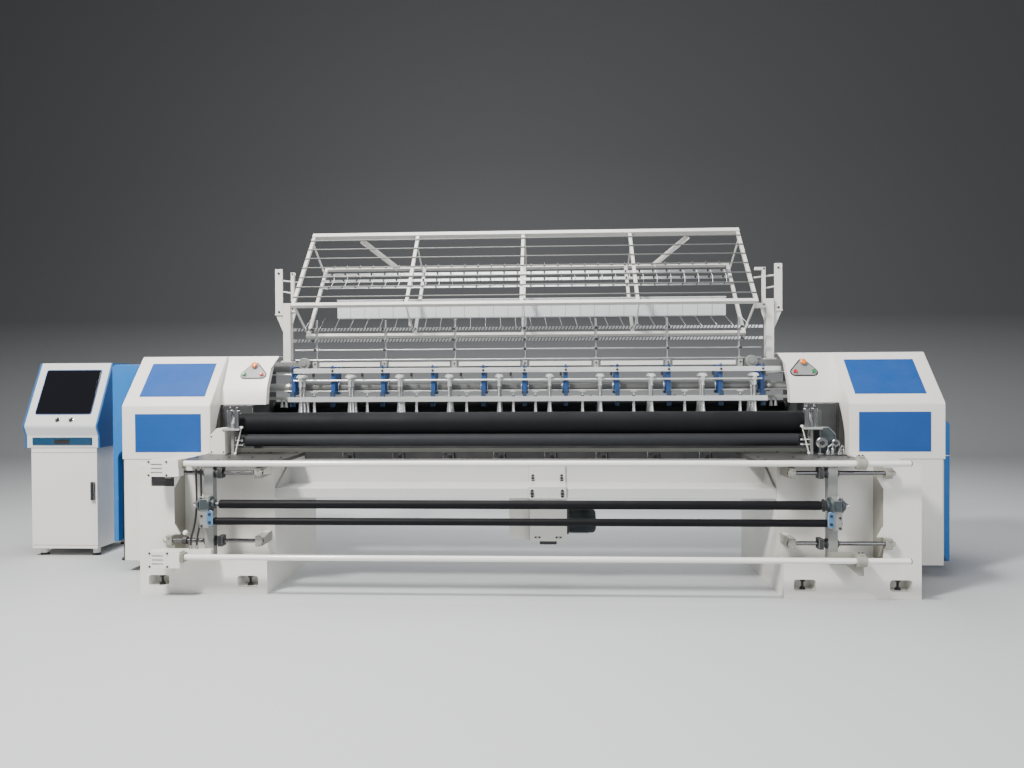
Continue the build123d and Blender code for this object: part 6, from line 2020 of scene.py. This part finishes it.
@dataclass
class Cabinet:
    """The console's light front, screen, switches and drawer, and the cabinet's door."""

    nose: Span = (879.0, 972.0)
    crest: Span = (1094.0, 1440.0)
    console_x: Span = (-3723.0, -3153.0)
    cab_x: Span = (-3681.0, -3180.0)
    knob_xs: Span = (-3467.0, -3364.0)
    knobs_up: float = 50.0
    screen_up: float = 275.0
    vents: int = 8
    vent_pitch: float = 20.0

    def build(self) -> None:
        """Makes the console and the cabinet's trim."""
        self._front()
        self._screen()
        self._knobs()
        self._drawer()
        self._door()
        self._back()

    def _face(self, x: float, up: float, out: float = 0.0) -> Matrix:
        """The plane of the console's leaning face at a height along it."""
        way = (Vector(self.crest) - Vector(self.nose)).normalized()
        spot = Vector(self.nose) + way * up + Vector((-way.y, way.x)) * out
        return plane_at((x, spot.x, spot.y), (1, 0, 0), (0, -way.y, way.x))

    def _front(self) -> None:
        """Folds the light front sheet from the crest over the nose to the drawer."""
        sheet = Shape(F.face)
        low, high = self.console_x[0] + 14.4, self.console_x[1] - 14.4
        line = ((909, 886.6), (909, 900), self.nose, self.crest)
        inner, outer = bent(line, 34), bent(shifted(line, 1.6), 35.6)
        sheet.prism(Axis.X, [*inner, *reversed(outer)], (low, high), 0)
        for x in ((low, -3666.8), (-3210.2, high)):
            sheet.box(x, (907.4, 909), (811, 886.6), 0.4)
        sheet.box((-3666.8, -3210.2), (907.4, 909), (811, 830.8), 0.4)
        sheet.done("console_front", sharp=30.0)

    def _screen(self) -> None:
        """Frames the screen and lays its glass in."""
        middle = (self.console_x[0] + self.console_x[1]) / 2
        rim = Shape(F.blue)
        rim.slab(self._face(middle, self.screen_up, 1.4), plate((0, 0), 434, 368, 16), 1.6, 0.6)
        rim.use(F.black)
        rim.slab(self._face(middle, self.screen_up, 2.8), plate((0, 0), 424, 358, 12), 2.2, 0.9)
        rim.done("screen_frame")
        glass = Shape(F.screen)
        glass.slab(self._face(middle, self.screen_up, 8), plate((0, 0), 398, 332, 5), 0.5, 0.2)
        glass.done("screen_glass")

    def _knobs(self) -> None:
        """Makes the two switches with a grip and a pale mark, and their rings."""
        rings = Shape(F.chrome)
        for side, x in zip(("left", "right"), self.knob_xs):
            spot = self._face(x, self.knobs_up)
            rings.ring(Axis.Z, (0, 0), 13.4, ((1.2, 19), (3.4, 18.4), (4.6, 16)), 32, place=spot)
            knob = Shape(F.black)
            knob.turned(Axis.Z, (0, 0), ((-12, 0), (-12, 5), (0, 5), (0, 13), (5, 13), (6.5, 12),
                        (7, 0)), 32, place=spot)
            grip = [(-3.6, -12), (3.6, -12), (3, 12.4), (-3, 12.4)]
            knob.slab(spot @ Matrix.Translation((0, 0, 5.5)), grip, 10.5, 1.4)
            knob.use(F.tube_white)
            knob.slab(spot @ Matrix.Translation((0, 6.5, 15.9)),
                      [(-1, -5), (1, -5), (1, 5), (-1, 5)], 0.5, 0)
            knob.stand_in(f"{side}_knob")
        rings.done("knob_rings")

    def _drawer(self) -> None:
        """Lays a black slab on the drawer's front as painted shade in its grip recess, and the
        grip's lip.
        """
        # The black slab is painted shade in the grip recess; the teal box is the lip.
        front = Shape(F.black)
        front.prism(Axis.Y, plate((-3438.5, 858), 118, 38, 8), (900.2, 901.4), 0.3)
        front.use(F.teal)
        front.box((-3493, -3384), (894.6, 901.2), (872, 877), 1.4)
        front.done("drawer_grip_shade", body_of("console_drawer"))

    def _door(self) -> None:
        """Puts the handle on the cabinet's door, dark lines round it, the upper one a painted
        shadow under the console, and feet under it.
        """
        door = Shape(F.black)
        door.box((-3221.4, -3192.6), (890.6, 911.6), (421, 557), 4.0, 3)
        door.box((-3213, -3201), (887.6, 891), (440, 538), 1.2)
        door.done("door_handle", body_of("cabinet_door"))
        line = Shape(F.black)
        # The line at 772, under the console, is a painted shadow.
        for z in ((771.6, 773.8), (82.2, 84.4)):
            line.box((self.cab_x[0] + 5, self.cab_x[1] - 5), (913.5, 926), z, 0)
        line.box((self.cab_x[0] + 2, self.cab_x[1] - 2), (932, 1396), (805, 811), 0.8)
        for x in (-3631, -3230):
            for y in (980, 1350):
                line.drum(Axis.Z, (x, y), ((0, 30), (6, 31), (14, 28), (16, 26)))
        line.done("cabinet_trim")

    def _back(self) -> None:
        """Gives the cabinet and the console back panels, black strips as painted shade for slots
        for air, and glands.
        """
        back = Shape(F.white)
        middle = (self.cab_x[0] + self.cab_x[1]) / 2
        back.prism(Axis.Y, plate((middle, 435), 440, 680, 10), (1400, 1402.5), 0.7)
        back.use(F.black)
        # Black strips for the air slots: painted shade in the openings.
        for i in range(self.vents):
            spot = (middle, 620 + self.vent_pitch * i)
            back.prism(Axis.Y, plate(spot, 220, 7, 3.4), (1402.4, 1403), 0)
        back.prism(Axis.Y, plate((middle, 1120), 500, 560, 14), (1330, 1331.6), 0.5)
        for x in (middle - 60, middle, middle + 60):
            back.drum(
                Axis.Y, (x, 150), ((1402, 17), (1410, 17), (1412, 13), (1424, 12), (1426, 9)), 20)
        back.done("cabinet_back")


# ------------------------------------------------------------------- drive


@dataclass
class Drive:
    """Ribs, seams and screws of the gearbox and the motor under the crossbeam."""

    mid_y: float = 492.5
    motor_z: float = 362.0
    slot_xs: Span = (93.0, 230.0)
    fins: int = 13
    first_fin: float = 309.0
    fin_pitch: float = 9.5
    grille_rings: int = 6

    def build(self) -> None:
        """Makes the trim of the drive."""
        self._gearbox()
        self._motor()

    def _gearbox(self) -> None:
        """Adds the seams, the slotted holes and notches in black as painted shade, and the dark
        sump.
        """
        trim = Shape(F.white)
        trim.box((37, 288), (381, 604), (548, 567.6), 2.0)
        trim.box((-96, 40), (426, 604), (548, 567.6), 2.0)
        trim.use(F.dark)
        trim.prism(Axis.Z, plate((162.5, self.mid_y), 113, 93, 13), (212, 246.6), 2.0)
        trim.use(F.black)
        trim.box((39.2, 41), (384.2, 386), (250, 546), 0)
        # Black slotted holes and notches: painted shade in the openings.
        for x in self.slot_xs:
            trim.prism(Axis.Y, plate((x, 273), 42, 12, 5.5), (384.4, 386), 0)
            trim.prism(Axis.Y, ((x - 9, 470), (x + 3, 470), (x - 3, 452)), (384.4, 386), 0)
        trim.use(F.zinc)
        for x in self.slot_xs:
            trim.drum(Axis.Y, (x, 273), ((385.4, 7.4), (382, 6.6)), 20)
        trim.screws(Axis.Z, ((130, self.mid_y), (195, self.mid_y)), 212, -5, 6)
        trim.use(F.clamp)
        for x in (38.2, 276.4):
            trim.box((x, x + 1.4), (378.4, 381), (632, 748), 0)
            trim.box((x, x + 1.4), (138.4, 141), (569, 629), 0)
        trim.box((39, 277), (378.4, 380.6), (748, 749.6), 0)
        trim.done("gearbox_trim")

    def _motor(self) -> None:
        """Cools the motor with ribs and gives it a terminal box, a grille and a gland."""
        motor = Shape(F.motor)
        at = (self.mid_y, self.motor_z)
        for i in range(self.fins):
            x = self.first_fin + i * self.fin_pitch
            motor.ring(
                Axis.X, at, 77, ((x, 83.4), (x + 0.8, 84), (x + 2.4, 84), (x + 3.2, 83.4)), 48)
        motor.box((334, 414), (456, 528), (436, 470), 3.0, 3)
        motor.box((330, 418), (452, 532), (468, 476), 2.0)
        motor.use(F.oxide)
        for spot in round_spots(at, 83, 4, 45):
            motor.hexagon(Axis.X, spot, 299, 8, 7)
        for i in range(self.grille_rings):
            radius = 12 + i * 9
            motor.ring(Axis.X, at, radius, ((474.6, radius + 3), (476, radius + 3)), 36)
        motor.use(F.black)
        motor.drum(Axis.X, (500, 453), ((414, 11), (424, 11), (426, 7), (432, 7)), 20)
        motor.done("motor_trim")


# -------------------------------------------------------------------- bed


@dataclass
class Bed:
    """Throat plates, front edge and rear guide bar of the needle bed, and a dark tray under it as
    painted shade.
    """

    edge_half: float = 1722.0
    edge_screws: int = 13
    screw_pitch: float = 270.0
    guide: Span = (1052.0, 1085.0)
    tray_half: float = 1700.0

    def build(self) -> None:
        """Makes the bed's loose parts."""
        plates = Shape(F.chrome)
        plates.turned(Axis.Z, (0, 0), ((1013.4, 3.0), (1013.4, 14), (1014.5, 13.4), (1014.8, 3.0)),
                      28, closed=True)
        plates.use(F.oxide)
        for x in (-32, 32):
            plates.drum(Axis.Z, (x, 0), ((1013.6, 5), (1014.7, 4.4)), 12)
        plates.repeat([(x, y, 0) for x in AT.rod_xs for y in AT.rows[:2]])
        plates.done("throat_plates")
        self._rear()
        edge = Shape(F.zinc)
        edge.box((-self.edge_half, self.edge_half), (717, 721), (999, 1014.4), 0.8)
        half = self.edge_screws // 2
        spots = [(i * self.screw_pitch, 960) for i in range(-half, half + 1)]
        edge.screws(Axis.Y, spots, 730, -5, 6)
        edge.done("bed_edge")

    def _rear(self) -> None:
        """Lays the covered guide bar behind the feet, and under the bed a dark tray that is
        painted shade.
        """
        bar = Shape(F.rubber)
        bar.drum(Axis.X, self.guide, ((-1874, 53), (-1871, 56), (1871, 56), (1874, 53)), 48)
        bar.use(F.dark)
        for s in (-1, 1):
            bar.drum(
                Axis.X, self.guide, ((s * 1874.2, 40), (s * 1884, 44), (s * 1889.6, 44)), 36)
        bar.done("rear_guide_bar")
        # Dark tray as painted shade under the bed, with screws and discs on it.
        tray = Shape(F.dark)
        fold = ((735, 807.6), (735, 744), (757, 730), (943, 730), (965, 744), (965, 807.6))
        outline = [*fold, *reversed(shifted(fold, 2.0))]
        tray.prism(Axis.X, outline, (-self.tray_half, self.tray_half), 0)
        for x in AT.rod_xs:
            tray.box((x - 38, x + 38), (716, 735), (748, 800), 3.0)
        tray.use(F.oxide)
        for x in AT.rod_xs:
            tray.screw(Axis.Y, (x - 20, 788), 716, -5, 6)
            tray.drum(Axis.Y, (x + 12, 770), ((716, 12), (708, 11), (707, 9)), 20)
        tray.done("bed_shade_tray")


# ------------------------------------------------------------ dressed nodes

DRESSED = {
    "left_stand": (F.white, 3.0), "right_stand": (F.white, 3.0), "crossbeam": (F.beam_white_painted_shade, 2.5),
    "splice_plate": (F.beam_white_painted_shade, 2.0), "guide_shafts": (F.shaft, 1.0),
    "gearbox": (F.white, 4.0), "drive_motor": (F.motor, 2.0),
    "left_lower_cover": (F.white, 1.5), "right_lower_cover": (F.white, 1.5),
    "left_upper_cover": (F.white, 1.6), "right_upper_cover": (F.white, 1.6),
    "side_casings": (F.casing_blue, 5.0), "blue_panels": (F.blue, 1.0),
    "button_plates": (F.button_grey, 1.2), "side_frames": (F.dark, 3.0),
    "head_beam": (F.beam, 3.0), "shaft_hangers": (F.hanger_blue, 3.0),
    "guide_bar": (F.bright, 1.0), "main_shaft": (F.shaft_grey, 2.0),
    "bed_beam": (F.dark, 3.0), "needle_plate": (F.steel, 0.8),
    "front_hook_shaft": (F.shaft, 1.0), "rear_hook_shaft": (F.shaft, 1.0),
    "presser_rails": (F.bright, 1.2), "carriage_frame": (F.carriage, 2.0),
    "feed_strip": (F.strip, 1.0), "roller_housings": (F.carriage, 2.0),
    "front_tubes": (F.tube_white, 1.5), "tube_brackets": (F.white, 2.0),
    "rack_rails": (F.rack_white, 1.5), "rack_legs": (F.rack_white, 1.2),
    "guide_rods": (F.rack_rod, 0.6),
    "thread_clips": (F.aluminium, 0.6), "tension_bars": (F.aluminium, 0.8),
    "rack_supports": (F.rack_white, 2.0), "cabinet_body": (F.white, 1.5),
    "cabinet_door": (F.white, 1.5), "console": (F.console_blue, 5.0),
    "console_drawer": (F.teal, 1.5), "console_screen": (F.screen, 1.5),
    "thread_tray": (F.tray, 1.0),
}

PATCHED = {
    # The shaft blocks on the stands take grey, partly as painted shade on the white paint.
    "left_stand": [(F.clamp, (-2400, -60, 0), (-1500, -0.5, 900))],
    "right_stand": [(F.clamp, (1500, -60, 0), (2400, -0.5, 900))],
    # The hangers' lower parts take the painted shade blue.
    "shaft_hangers": [(F.hanger_shade, (-1800, 795, 1100), (1800, 841, 1230))],
    # The deck plates' top takes dark steel, partly as painted shade.
    "carriage_frame": [(F.deck, (-2200, -70, 799), (2200, 480, 822.4))],
    # The right tube brackets take grey, partly as painted shade.
    "tube_brackets": [(F.clamp, (1700, -200, 0), (2200, 60, 900))],
}


def main() -> None:
    """Builds the machine's looks in order and reports each piece."""
    logging.basicConfig(level=logging.INFO, format="%(message)s")
    Studio().build()
    AirHoses().build()
    for piece in (EndCovers(), HoodButtons(), Stands(), Carriage(), Rollers(), NeedleHead(),
                  ThreadRack(), Cabinet(), Drive(), Bed()):
        piece.build()
    for node, (finish, soft) in DRESSED.items():
        softened(node, finish, soft, patches=PATCHED.get(node, ()))


if __name__ == "__main__":
    main()
